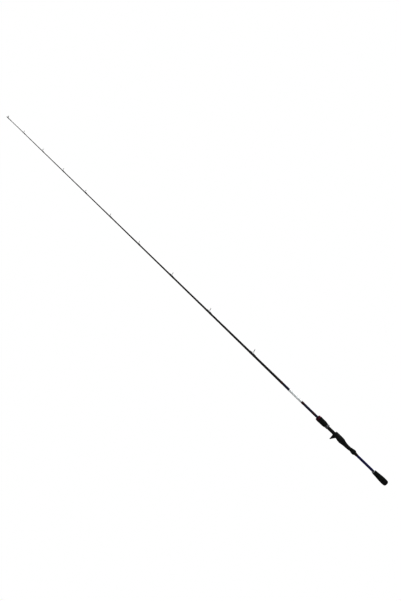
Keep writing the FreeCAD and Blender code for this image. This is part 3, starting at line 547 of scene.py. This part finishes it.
# %% Hood shell
mouth, front = ends("hood_shell")
low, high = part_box("hood_shell")
lift = (low.z + high.z) / 2
widest = reach("hood_shell")
LIP, WALL = 1.25 * MM, 0.5 * MM
shell = turn("hood_shell_turned", [
    (mouth, widest - LIP, 0.2 * MM),
    (mouth, widest - 0.1 * MM, 0.35 * MM),
    (mouth - 0.9 * MM, widest, 0.3 * MM),
    (mouth - 2.0 * MM, widest - 0.12 * MM, 0.2 * MM),
    (mouth - 2.4 * MM, widest - 0.12 * MM, 0.2 * MM),
    (mouth - 3.2 * MM, widest, 0.3 * MM),
    (front, widest, 0.15 * MM),
    (front, widest - WALL, 0),
    (mouth - 0.6 * MM, widest - WALL, 0),
    (mouth - 0.6 * MM, widest - LIP, 0),
], lift=lift)
hand_over(shell, hood_metal, "hood_metal", "hood", "hood_shell")

# %% [markdown]
# ## The moulded seat
# The seat is one moulding: a palm swell with its rear hood and trigger, and a barrel with a flat for the reel's
# foot. A moulding has no knife edges, so the palm part is a copy of the CAD solid, merged, remeshed into fine
# even cells and smoothed, which rounds every edge by a few tenths of a millimetre. The barrel's cross section
# never changes, so it is turned, and its flat is pressed down to the height that the reel's foot rests on.

# %% Helpers for remeshed pieces
def settle(piece, name):
    """Applies a piece's modifiers: the result is a new plain object, and the old one goes."""
    graph = bpy.context.evaluated_depsgraph_get()
    mesh = bpy.data.meshes.new_from_object(piece.evaluated_get(graph), depsgraph=graph)
    bpy.data.objects.remove(piece)
    result = bpy.data.objects.new(name, mesh)
    scene.collection.objects.link(result)
    return result


def melt(piece, name, voxel, passes, keep=1.0):
    """Joins a piece's closed shells into one skin of small cells, smooths it and keeps a share of its faces."""
    remesh = piece.modifiers.new("cells", "REMESH")
    remesh.mode = "VOXEL"
    remesh.voxel_size = voxel
    remesh.use_smooth_shade = True
    softer = piece.modifiers.new("softer", "SMOOTH")
    softer.factor = 0.5
    softer.iterations = passes
    if keep < 1:
        piece.modifiers.new("fewer", "DECIMATE").ratio = keep
    return settle(piece, name)


# %% The palm swell, rear hood and trigger
SEAT_BORE = 5.4 * MM
SADDLE = next(m for m in frame["record"]["mounts"] if m["name"] == "reel_saddle")["pos_m"][2]
CUT = 4 * MM
SEAT_CELL = 0.24 * MM
builder = bmesh.new()
builder.from_mesh(nodes["reel_seat"].data)
bmesh.ops.remove_doubles(builder, verts=builder.verts, dist=0.005 * MM)
everything = builder.verts[:] + builder.edges[:] + builder.faces[:]
bmesh.ops.bisect_plane(builder, geom=everything, plane_co=(CUT, 0, 0), plane_no=(1, 0, 0), clear_inner=True)
open_edges = [e for e in builder.edges if e.is_boundary and all(abs(v.co.x - CUT) < 1e-6 for v in e.verts)]
bmesh.ops.bridge_loops(builder, edges=open_edges)
palm = melt(keep_mesh("palm_block", builder), "seat_palm_and_trigger", SEAT_CELL, 8, keep=0.4)
hand_over(palm, nylon, "seat_plastic", "root", "reel_seat")

# %% The barrel
BARREL, ROOT, NOSE = 6.9 * MM, 6.6 * MM, 6.0 * MM
BARREL_BACK = 12 * MM
THREAD_BACK, FLAT_FRONT = -45 * MM, -51 * MM
seat_front = ends("reel_seat")[1]
barrel = turn("seat_barrel", [
    (BARREL_BACK, SEAT_BORE, 0),
    (BARREL_BACK, BARREL, 0),
    (THREAD_BACK, BARREL, 0.3 * MM),
    (THREAD_BACK - 0.3 * MM, ROOT, 0.1 * MM),
    (FLAT_FRONT + 0.01 * MM, ROOT, 0),
    (FLAT_FRONT, ROOT, 0),
    (seat_front + 1.2 * MM, ROOT, 0.3 * MM),
    (seat_front, NOSE, 0.2 * MM),
    (seat_front, SEAT_BORE, 0),
], sides=180)
for vertex in barrel.data.vertices:
    if vertex.co.x > FLAT_FRONT:
        vertex.co.z = min(vertex.co.z, SADDLE)
smooth(barrel)
hand_over(barrel, nylon, "seat_plastic", "root", "reel_seat")

# %% [markdown]
# ## Trees of Geometry Nodes
# The blank and the thread wraps follow a rule along the rod, so Geometry Nodes make them. Each tree has named
# inputs. It runs on an empty carrier, and its result is kept as a plain mesh.

# %% Make and run a tree
def new_tree(name, numbers, result="NodeSocketGeometry"):
    """An empty tree with a number input for each name, a material input and one output."""
    tree = bpy.data.node_groups.new(name, "GeometryNodeTree")
    for number in numbers:
        tree.interface.new_socket(name=number, in_out="INPUT", socket_type="NodeSocketFloat")
    if result == "NodeSocketGeometry":
        tree.interface.new_socket(name="Material", in_out="INPUT", socket_type="NodeSocketMaterial")
    tree.interface.new_socket(name="Result", in_out="OUTPUT", socket_type=result)
    return tree, add(tree, "NodeGroupInput").outputs


def run_tree(name, tree, values):
    """The tree's mesh for these inputs, as a plain object with its faces outwards."""
    carrier = bpy.data.objects.new("carrier", bpy.data.meshes.new("carrier"))
    scene.collection.objects.link(carrier)
    modifier = carrier.modifiers.new("tree", "NODES")
    modifier.node_group = tree
    for socket in tree.interface.items_tree:
        if socket.in_out == "INPUT":
            modifier[socket.identifier] = values[socket.name]
    result = settle(carrier, name)
    builder = bmesh.new()
    builder.from_mesh(result.data)
    bmesh.ops.recalc_face_normals(builder, faces=builder.faces)
    builder.to_mesh(result.data)
    builder.free()
    smooth(result, 50)
    return result


# %% [markdown]
# ## The blank
# The blank's radius follows its taper: it starts with the tip's radius, and each stretch adds its own
# change in proportion to how far along it a point lies. So the tree has one Map Range for each stretch, and
# adds them up. It bends nothing, so the mesh is a long cylinder whose points move out to that radius.

# %% Blank tree
tree, given = new_tree("tapered tube", ["Rings", "Sides"])
tube = add(tree, "GeometryNodeMeshCylinder", {
    "Vertices": given["Sides"], "Side Segments": given["Rings"], "Radius": 1.0, "Depth": 1.0})
position = add(tree, "ShaderNodeSeparateXYZ", {"Vector": add(tree, "GeometryNodeInputPosition")})
back, front = ends("blank")
x = add(tree, "ShaderNodeMapRange", {
    "Value": position.outputs["Z"], "From Min": -0.5, "From Max": 0.5, "To Min": front, "To Max": back})
total = knots[0][1]
for (near, near_radius), (far, far_radius) in zip(knots, knots[1:]):
    if abs(far_radius - near_radius) < 1e-7:
        continue
    stretch = add(tree, "ShaderNodeMapRange", {
        "Value": x, "From Min": near, "From Max": far, "To Max": far_radius - near_radius})
    total = add(tree, "ShaderNodeMath", {0: total, 1: stretch}, operation="ADD")
y = add(tree, "ShaderNodeMath", {0: position.outputs["X"], 1: total}, operation="MULTIPLY")
z = add(tree, "ShaderNodeMath", {0: position.outputs["Y"], 1: total}, operation="MULTIPLY")
placed = add(tree, "GeometryNodeSetPosition", {
    "Geometry": tube, "Position": add(tree, "ShaderNodeCombineXYZ", {"X": x, "Y": y, "Z": z})})
real = add(tree, "GeometryNodeRealizeInstances", {"Geometry": placed})
painted = add(tree, "GeometryNodeSetMaterial", {"Geometry": real, "Material": given["Material"]})
add(tree, "NodeGroupOutput", {"Result": painted})

blank = run_tree("blank_tapered", tree, {"Rings": 500.0, "Sides": 64.0, "Material": carbon})
hand_over(blank, None, "blank_carbon", "root", "blank")

# %% [markdown]
# ## Thread wraps
# A guide's foot lies on the blank, and thread is wound over both in one close coil. Seen along the rod, the
# thread lies on the blank, rises in two straight flanks, and rounds the foot. That is the outline of two
# circles held in one band: the blank's circle, and the foot's circle on top of it. At any turn angle, whichever
# circle reaches further that way holds the thread. A small group of nodes holds this rule.

# %% The band round two circles
rule, given = new_tree("band round two circles", ["Along", "Turn", "Blank", "Foot", "Out"], "NodeSocketVector")
cosine = add(rule, "ShaderNodeMath", {0: given["Turn"]}, operation="COSINE")
sine = add(rule, "ShaderNodeMath", {0: given["Turn"]}, operation="SINE")
lifted = add(rule, "ShaderNodeMath", {0: given["Blank"], 1: cosine, 2: given["Foot"]}, operation="MULTIPLY_ADD")
on_foot = add(rule, "ShaderNodeMath", {0: lifted, 1: given["Blank"]}, operation="GREATER_THAN")
centre = add(rule, "ShaderNodeMath", {0: given["Blank"], 1: on_foot}, operation="MULTIPLY")
change = add(rule, "ShaderNodeMath", {0: given["Foot"], 1: given["Blank"]}, operation="SUBTRACT")
own = add(rule, "ShaderNodeMath", {0: change, 1: on_foot, 2: given["Blank"]}, operation="MULTIPLY_ADD")
proud = add(rule, "ShaderNodeMath", {0: own, 1: given["Out"]}, operation="ADD")
y = add(rule, "ShaderNodeMath", {0: proud, 1: sine}, operation="MULTIPLY")
z = add(rule, "ShaderNodeMath", {0: proud, 1: cosine, 2: centre}, operation="MULTIPLY_ADD")
add(rule, "NodeGroupOutput", {"Result": add(rule, "ShaderNodeCombineXYZ", {"X": given["Along"], "Y": y, "Z": z})})

# %% [markdown]
# The wrap's tree uses that rule twice. Once for a line of points that becomes the strand, with 40 points to a
# turn. And once for a sleeve, the varnish that the strand is half sunk in. The varnish is thickest over the
# middle and runs out to nothing at both ends. Real wrapping thread is about 0.15 mm thick, and is drawn twice
# as thick so that its strands show.

# %% Wrap tree
THREAD = 0.3 * MM
STEPS = 40
SLEEVE_RINGS = 24
BARE_END = 0.05
SUNK_EDGE = -0.02 * MM
tree, given = new_tree("thread wrap", [
    "Start", "End", "Blank Start", "Blank End", "Foot Start", "Foot End", "Thread", "Varnish"])


def on_wrap(share, turn, out):
    """Where the rule puts a point, from its share of the wrap's length and its turn angle."""
    spans = {}
    for word, low, high in (("Along", "Start", "End"), ("Blank", "Blank Start", "Blank End"),
                            ("Foot", "Foot Start", "Foot End")):
        spans[word] = add(tree, "ShaderNodeMapRange", {"Value": share, "To Min": given[low], "To Max": given[high]})
    spans.update({"Turn": turn, "Out": out})
    group = tree.nodes.new("GeometryNodeGroup")
    group.node_tree = rule
    for word, node in spans.items():
        tree.links.new(node.outputs[0], group.inputs[word])
    return group


span = add(tree, "ShaderNodeMath", {0: given["End"], 1: given["Start"]}, operation="SUBTRACT")
length = add(tree, "ShaderNodeMath", {0: span}, operation="ABSOLUTE")
turns = add(tree, "ShaderNodeMath", {0: length, 1: given["Thread"]}, operation="DIVIDE")
count = add(tree, "ShaderNodeMath", {0: turns, 1: STEPS * (1 - 2 * BARE_END)}, operation="MULTIPLY")
index = add(tree, "GeometryNodeInputIndex")
step = add(tree, "ShaderNodeMath", {0: index, 1: count}, operation="DIVIDE")
share_along = add(tree, "ShaderNodeMapRange", {"Value": step, "To Min": BARE_END, "To Max": 1 - BARE_END})
turn_angle = add(tree, "ShaderNodeMath", {0: index, 1: math.tau / STEPS}, operation="MULTIPLY")
half = add(tree, "ShaderNodeMath", {0: given["Thread"], 1: 0.5}, operation="MULTIPLY")
dots = add(tree, "GeometryNodeMeshLine", {"Count": count})
wound = add(tree, "GeometryNodeSetPosition", {"Geometry": dots, "Position": on_wrap(share_along, turn_angle, half)})
strand = add(tree, "GeometryNodeMeshToCurve", {"Mesh": wound})
profile = add(tree, "GeometryNodeCurvePrimitiveCircle", {"Resolution": 6, "Radius": half})
coil = add(tree, "GeometryNodeCurveToMesh", {"Curve": strand, "Profile Curve": profile, "Fill Caps": True})

sleeve = add(tree, "GeometryNodeMeshCylinder", {
    "Vertices": STEPS, "Side Segments": SLEEVE_RINGS, "Radius": 1.0, "Depth": 1.0})
position = add(tree, "ShaderNodeSeparateXYZ", {"Vector": add(tree, "GeometryNodeInputPosition")})
share_up = add(tree, "ShaderNodeMath", {0: position.outputs["Z"], 1: 0.5}, operation="ADD")
round_angle = add(tree, "ShaderNodeMath", {
    0: position.outputs["X"], 1: position.outputs["Y"]}, operation="ARCTAN2")
from_middle = add(tree, "ShaderNodeMath", {0: position.outputs["Z"]}, operation="ABSOLUTE")
cover = add(tree, "ShaderNodeMapRange", {
    "Value": from_middle, "From Min": 0.5 - 2 * BARE_END, "From Max": 0.5,
    "To Min": given["Varnish"], "To Max": SUNK_EDGE}, interpolation_type="SMOOTHSTEP")
coated = add(tree, "GeometryNodeSetPosition", {
    "Geometry": sleeve, "Position": on_wrap(share_up, round_angle, cover)})
both = add(tree, "GeometryNodeJoinGeometry", {"Geometry": coil})
tree.links.new(coated.outputs[0], both.inputs["Geometry"])
real = add(tree, "GeometryNodeRealizeInstances", {"Geometry": both})
painted = add(tree, "GeometryNodeSetMaterial", {"Geometry": real, "Material": given["Material"]})
add(tree, "NodeGroupOutput", {"Result": painted})
wrap_tree = tree


def wrap(name, start, end, foot, material, thread=THREAD, varnish=0.19 * MM):
    """One wrap from start, over a foot of this radius that thins to nothing at end."""
    return run_tree(name, wrap_tree, {
        "Start": start, "End": end, "Blank Start": blank_radius(start), "Blank End": blank_radius(end),
        "Foot Start": foot, "Foot End": 0.0, "Thread": thread, "Varnish": varnish, "Material": material})


# %% [markdown]
# The three trim bands are wraps with no foot under them. They lie flat and low, so their thread is finer and
# the varnish nearly covers it. The silver label is foil under the same varnish, with rounded ends.

# %% Trim bands and label
FINE_THREAD, THIN_VARNISH = 0.22 * MM, 0.17 * MM
for node in ("rear_trim_band", "middle_trim_band", "front_trim_band"):
    back, front = ends(node)
    band = wrap(f"{node}_wound", back, front, 0.0, red_thread, FINE_THREAD, THIN_VARNISH)
    hand_over(band, None, "red_thread", "root", node)

back, front = ends("label_band")
wall = reach("label_band")
label = turn("label_band_rolled", [
    (back, wall - 0.1 * MM, 0),
    (back - 0.3 * MM, wall, 0.3 * MM),
    (front + 0.3 * MM, wall, 0.3 * MM),
    (front, wall - 0.1 * MM, 0),
    (front, bore - 0.03 * MM, 0),
    (back, bore - 0.03 * MM, 0),
])
hand_over(label, foil, "label_foil", "root", "label_band")

# %% [markdown]
# ## Guides
# A guide is one small frame: a leaning ring holder, legs that come down from it, and feet that lie on the blank
# under the thread. Its ceramic ring is a CAD node already. All sizes follow from the ring's radius. The parts
# of a frame are made one by one, as a turned band and swept strips, then melted into one skin, as a soldered
# frame is, so the legs run into the holder and the feet with small fillets.

# %% Parts of a guide frame
STRIP_SIDES = 14
# a base and a share of the ring's radius
SIZES = {
    "wall": (0.2 * MM, 0.06),
    "half width": (0.4 * MM, 0.06),
    "wire": (0.25 * MM, 0.07),
    "foot": (0.45 * MM, 0.14),
}
mounts = {mount["name"]: mount for mount in frame["record"]["mounts"]}


def size_of(part, ring):
    """A size of a guide frame, from its ring's radius."""
    base, share_of_ring = SIZES[part]
    return base + share_of_ring * ring


def sweep(builder, points, half_widths, half_depths):
    """A closed strip with an oval section along these points, wide across the rod."""
    loops = []
    for number, point in enumerate(points):
        ahead = points[min(number + 1, len(points) - 1)]
        behind = points[max(number - 1, 0)]
        along = (ahead - behind).normalized()
        wide = Vector((0, 1, 0))
        wide = (wide - along * wide.dot(along)).normalized()
        deep = along.cross(wide)
        loop = []
        for side in range(STRIP_SIDES):
            a = math.tau * side / STRIP_SIDES
            offset = wide * half_widths[number] * math.cos(a) + deep * half_depths[number] * math.sin(a)
            loop.append(builder.verts.new(point + offset))
        loops.append(loop)
    for near, far in zip(loops, loops[1:]):
        for side in range(STRIP_SIDES):
            other = (side + 1) % STRIP_SIDES
            builder.faces.new((near[side], near[other], far[other], far[side]))
    builder.faces.new(loops[0])
    builder.faces.new(loops[-1])


def curved(start, start_handle, end_handle, end, steps=18):
    """Points on a Bezier curve."""
    points = []
    for step in range(steps + 1):
        t = step / steps
        s = 1 - t
        points.append(start * s**3 + start_handle * 3 * s * s * t + end_handle * 3 * s * t * t + end * t**3)
    return points


def add_holder(builder, centre, axis, ring):
    """The leaning band that holds a ceramic ring of this outside radius."""
    half_width = size_of("half width", ring)
    wall = size_of("wall", ring)
    band = turn("band", [
        (half_width, ring - wall, 0),
        (half_width, ring - 0.1 * MM, 0.1 * MM),
        (0, ring + 0.02 * MM, half_width * 0.6),
        (-half_width, ring - 0.1 * MM, 0.1 * MM),
        (-half_width, ring - wall, 0),
    ], sides=72)
    lean = Vector((1, 0, 0)).rotation_difference(axis).to_matrix().to_4x4()
    band.data.transform(Matrix.Translation(centre) @ lean)
    builder.from_mesh(band.data)
    bpy.data.objects.remove(band)


def on_ring(centre, axis, radius, angle):
    """A point on a leaning ring, at an angle from its lowest point."""
    down = Vector((0, 1, 0)).cross(axis).normalized()
    if down.z > 0:
        down.negate()
    return centre + (down * math.cos(angle) + Vector((0, 1, 0)) * math.sin(angle)) * radius


def lay_on_blank(piece):
    """Moves what lies inside the blank out to its surface."""
    for vertex in piece.data.vertices:
        inside = math.hypot(vertex.co.y, vertex.co.z)
        surface_radius = blank_radius(vertex.co.x) - 0.01 * MM
        if 1e-6 < inside < surface_radius:
            vertex.co.y *= surface_radius / inside
            vertex.co.z *= surface_radius / inside


# %% Frames and wraps of the nine guides
SIDE_LEG = math.radians(50)
# distances along the rod from the ring's centre, in ring radii
FRONT_FOOT_REACH = 1.6
FOOT_START, REAR_LANDING, FRONT_LANDING = 0.95, 1.05, 0.1
WRAP_START_TWO_FEET, WRAP_START_ONE_FOOT, WRAP_START_FRONT = 1.3, 1.5, 0.35
# a foot's thickness at its heel, under the leg, where its wrap starts, and how much it loses from there to its tip
FOOT_HEEL, FOOT_ROOT, FOOT_FULL, FOOT_LOSS = 0.45, 0.85, 0.95, 0.83
FOOT_STEPS = 10
guide_faces = 0
for number in range(1, 10):
    name = f"guide_{number}"
    mount = mounts[f"{name}_line"]
    centre, axis = Vector(mount["pos_m"]), Vector(mount["axis"])
    ring = reach(f"{name}_frame")
    rear_end, front_end = ends(f"{name}_frame")
    two_feet = front_end < centre.x - FRONT_FOOT_REACH * ring
    foot, wire = size_of("foot", ring), size_of("wire", ring)
    holder_middle = ring - 0.5 * size_of("wall", ring)
    rear_wrap_start = WRAP_START_TWO_FEET if two_feet else WRAP_START_ONE_FOOT
    feet = [(centre.x + FOOT_START * ring, rear_end, centre.x + rear_wrap_start * ring)]
    if two_feet:
        feet.append((centre.x, front_end, centre.x - WRAP_START_FRONT * ring))

    builder = bmesh.new()
    add_holder(builder, centre, axis, ring)
    for start, end, wrap_start in feet:
        toward = 1 if end > start else -1
        stations = [start - toward * 0.3 * foot, start, wrap_start]
        radii = [FOOT_HEEL * foot, FOOT_ROOT * foot, FOOT_FULL * foot]
        for step in range(1, FOOT_STEPS + 1):
            stations.append(wrap_start + (end - wrap_start) * step / FOOT_STEPS)
            radii.append(foot * (FOOT_FULL - FOOT_LOSS * step / FOOT_STEPS))
        middle = [Vector((x, 0, blank_radius(x))) for x in stations]
        sweep(builder, middle, radii, radii)
    landing_x = centre.x + REAR_LANDING * ring
    landing = Vector((landing_x, 0, blank_radius(landing_x) + 0.35 * foot))
    for angle in (-SIDE_LEG, SIDE_LEG):
        top = on_ring(centre, axis, holder_middle, angle)
        first = top + Vector((0.25 * ring, -0.12 * math.copysign(ring, angle), -0.3 * ring))
        second = landing - Vector((0.32 * ring, 0, -0.06 * ring))
        line = curved(top, first, second, landing + Vector((0.25 * ring, 0, -0.1 * foot)))
        wides = [wire * (1.25 + 0.2 * step / len(line)) for step in range(len(line))]
        sweep(builder, line, wides, [wire * 0.7] * len(line))
    if two_feet:
        top = on_ring(centre, axis, holder_middle, 0)
        front_x = centre.x - FRONT_LANDING * ring
        end = Vector((front_x - 0.35 * ring, 0, blank_radius(front_x) + 0.2 * foot))
        line = curved(top, top + Vector((0, 0, -0.25 * ring)), end + Vector((0.3 * ring, 0, 0.15 * ring)), end)
        sweep(builder, line, [wire * 1.5] * len(line), [wire * 0.7] * len(line))
    parts = keep_mesh("frame_parts", builder)
    voxel = (0.14 if two_feet else 0.1) * MM
    piece = melt(parts, f"{name}_frame_bent", voxel, 2)
    lay_on_blank(piece)
    hand_over(piece, smoked_steel, "guide_metal", "root", f"{name}_frame")

    wraps = []
    builder = bmesh.new()
    wrap_rear, wrap_front = ends(f"{name}_wraps")
    for start, end, wrap_start in feet:
        wrap_end = wrap_rear if end > start else wrap_front
        one = wrap("one_wrap", wrap_start, wrap_end, foot, black_thread)
        builder.from_mesh(one.data)
        bpy.data.objects.remove(one)
    mesh = bpy.data.meshes.new(f"{name}_wraps_wound")
    builder.to_mesh(mesh)
    builder.free()
    wound = bpy.data.objects.new(f"{name}_wraps_wound", mesh)
    scene.collection.objects.link(wound)
    smooth(wound, 50)
    hand_over(wound, black_thread, "wrap_thread", "root", f"{name}_wraps")
    guide_faces += len(piece.data.polygons) + len(wound.data.polygons)
print("faces in nine guides:", guide_faces)

# %% [markdown]
# ## The tip-top
# The last guide is a closed tube that slips over the blank's tip, with a ring on two side legs. It is made as
# the others are: turned tube and band, swept legs, melted into one skin. A short wrap covers its open end.

# %% Tip-top
mount = mounts["tip_top_line"]
centre, axis = Vector(mount["pos_m"]), Vector(mount["axis"])
ring = reach("tip_top_frame")
wire = size_of("wire", ring)
tube_back, tube_front = ends("tip_top_frame")
tip = ends("blank")[1]
tip_radius = blank_radius(tip)
TUBE_WALL = 0.4 * MM
tube_radius = tip_radius + TUBE_WALL
builder = bmesh.new()
tube = turn("tube", [
    (tube_back, tip_radius, 0),
    (tube_back, tube_radius, 0.1 * MM),
    (tube_front, tube_radius, 0.8 * MM),
    (tube_front, 0, 0),
    (tip, 0, 0),
    (tip, tip_radius, 0),
], sides=48)
builder.from_mesh(tube.data)
bpy.data.objects.remove(tube)
add_holder(builder, centre, axis, ring)
TIP_LEG = math.radians(55)
TIP_LANDING = 5.5 * MM
holder_middle = ring - 0.19 * MM
landing_x = centre.x + TIP_LANDING
landing = Vector((landing_x, 0, tip_radius + 0.2 * MM))
for angle in (-TIP_LEG, TIP_LEG):
    top = on_ring(centre, axis, holder_middle, angle)
    first = top + Vector((0.3 * ring, -0.1 * math.copysign(ring, angle), -0.35 * ring))
    line = curved(top, first, landing - Vector((0.6 * ring, 0, 0)), landing)
    sweep(builder, line, [wire * 1.3] * len(line), [wire * 0.75] * len(line))
parts = keep_mesh("tip_parts", builder)
piece = melt(parts, "tip_top_frame_bent", 0.1 * MM, 2)
hand_over(piece, smoked_steel, "guide_metal", "root", "tip_top_frame")

back, front = ends("tip_top_wrap")
piece = wrap("tip_top_wrap_wound", back, front, 0.0, black_thread)
hand_over(piece, None, "wrap_thread", "root", "tip_top_wrap")

# %% [markdown]
# ## Nodes that keep their CAD shape
# The ceramic rings, the hood's carrier, the nut and its retainer, the plug and the sleeves inside the seat have
# their true shape already. They only get their finish.

# %% Finishes for CAD nodes
finishes = {
    "butt_plug": rubber,
    "seat_arbor_rear": glued_foam,
    "seat_arbor_front": glued_foam,
    "hood_carrier": nylon,
    "nut_retainer": nylon,
    "lock_nut": nylon,
    "tip_top_ring": ceramic,
}
finishes.update({f"guide_{number}_ring": ceramic for number in range(1, 10)})
for node, material in finishes.items():
    for place in nodes[node].material_slots:
        place.material = material
print("finished CAD nodes:", len(finishes))

# %% [markdown]
# ## Camera
# The camera is square to the rod's side and far away, with a long lens, so that nothing along the rod is
# seen at an angle. It is rolled, so that the rod runs down across a tall frame, tip at the top left.

# %% Camera
SLOPE = math.radians(44.06)
DISTANCE = 6.578
AIM = Vector((-0.7305, 0, 0.0100))
FOCAL_LENGTH = 100
lens = bpy.data.cameras.new("camera")
lens.lens = FOCAL_LENGTH
lens.sensor_width = 36
lens.clip_end = 30
camera = bpy.data.objects.new("camera", lens)
scene.collection.objects.link(camera)
right = Vector((math.cos(SLOPE), 0, math.sin(SLOPE)))
up = Vector((-math.sin(SLOPE), 0, math.cos(SLOPE)))
turned = Matrix((right, up, right.cross(up))).transposed().to_4x4()
camera.matrix_world = Matrix.Translation(AIM - Vector((0, DISTANCE, 0))) @ turned
scene.camera = camera
print("camera at", [round(part, 3) for part in camera.matrix_world.translation])

# %% [markdown]
# ## Light and floor
# The light is that of a product table: a large soft box near the camera, others at the sides, behind and above,
# and a pale floor well below the rod. The world is white to the camera and dim to everything else, so the
# backdrop is white and the dark finishes keep their depth. A gamma below one deepens the picture's contrast.

# %% Light
scene.view_settings.view_transform = "Standard"
scene.view_settings.gamma = 0.72


def soft_box(name, place, target, size, watts):
    """A square area light that faces a target."""
    light = bpy.data.lights.new(name, "AREA")
    light.energy = watts
    light.size = size
    lamp = bpy.data.objects.new(name, light)
    scene.collection.objects.link(lamp)
    way = Vector(target) - Vector(place)
    lamp.matrix_world = Matrix.Translation(place) @ way.to_track_quat("-Z", "Y").to_matrix().to_4x4()


HANDLE = (-0.1, 0, 0)
MIDDLE = (-0.75, 0, 0)
SOFT_BOXES = [
    # name, place, target, side in metres, watts
    ("key_at_camera", (-0.6, -4.2, 1.1), MIDDLE, 3.2, 90),
    ("side_butt", (3.2, -0.6, 1.2), HANDLE, 1.6, 25),
    ("side_tip", (-4.4, -0.6, 1.2), MIDDLE, 1.6, 25),
    ("behind", (-0.75, 4.0, 1.6), MIDDLE, 3.0, 120),
    ("above", (-0.75, 0, 3.4), MIDDLE, 2.6, 110),
]
for box in SOFT_BOXES:
    soft_box(*box)
print("soft boxes:", len(SOFT_BOXES))

world = bpy.data.worlds.new("studio")
scene.world = world
world.use_nodes = True
tree = world.node_tree
paths = add(tree, "ShaderNodeLightPath")
strength = add(tree, "ShaderNodeMapRange", {"Value": paths.outputs["Is Camera Ray"], "To Min": 0.06, "To Max": 1.0})
background = tree.nodes["Background"]
background.inputs["Color"].default_value = (1, 1, 1, 1)
tree.links.new(strength.outputs["Result"], background.inputs["Strength"])

# %% Floor
FLOOR = -1.6
LEFT, RIGHT, NEAR, FAR = -3.6, 2.2, -3.0, 0.6
PAPER_GRAIN = 2 * MM
builder = bmesh.new()
corners = [(LEFT, NEAR, FLOOR), (RIGHT, NEAR, FLOOR), (RIGHT, FAR, FLOOR), (LEFT, FAR, FLOOR)]
builder.faces.new([builder.verts.new(corner) for corner in corners])
floor = keep_mesh("floor", builder)
paper, tree, shader = finish("backdrop_paper_matt", "#F2F1EE", Roughness=0.9)
place = add(tree, "ShaderNodeTexCoord").outputs["Object"]
grain = add(tree, "ShaderNodeTexNoise", {"Vector": place, "Scale": 1 / PAPER_GRAIN, "Detail": 3.0})
tone = add(tree, "ShaderNodeValToRGB", {"Fac": grain}, ramp=[(0.3, "#EFEEEB"), (0.7, "#F5F4F1")])
surface(tree, shader, colour=tone, height=grain)
floor.data.materials.append(paper)
floor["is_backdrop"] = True

# %% [markdown]
# ## Sizes
# The box of what was built here is printed.

# %% Print the box
low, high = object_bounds()
print("visual box", list(low), list(high))
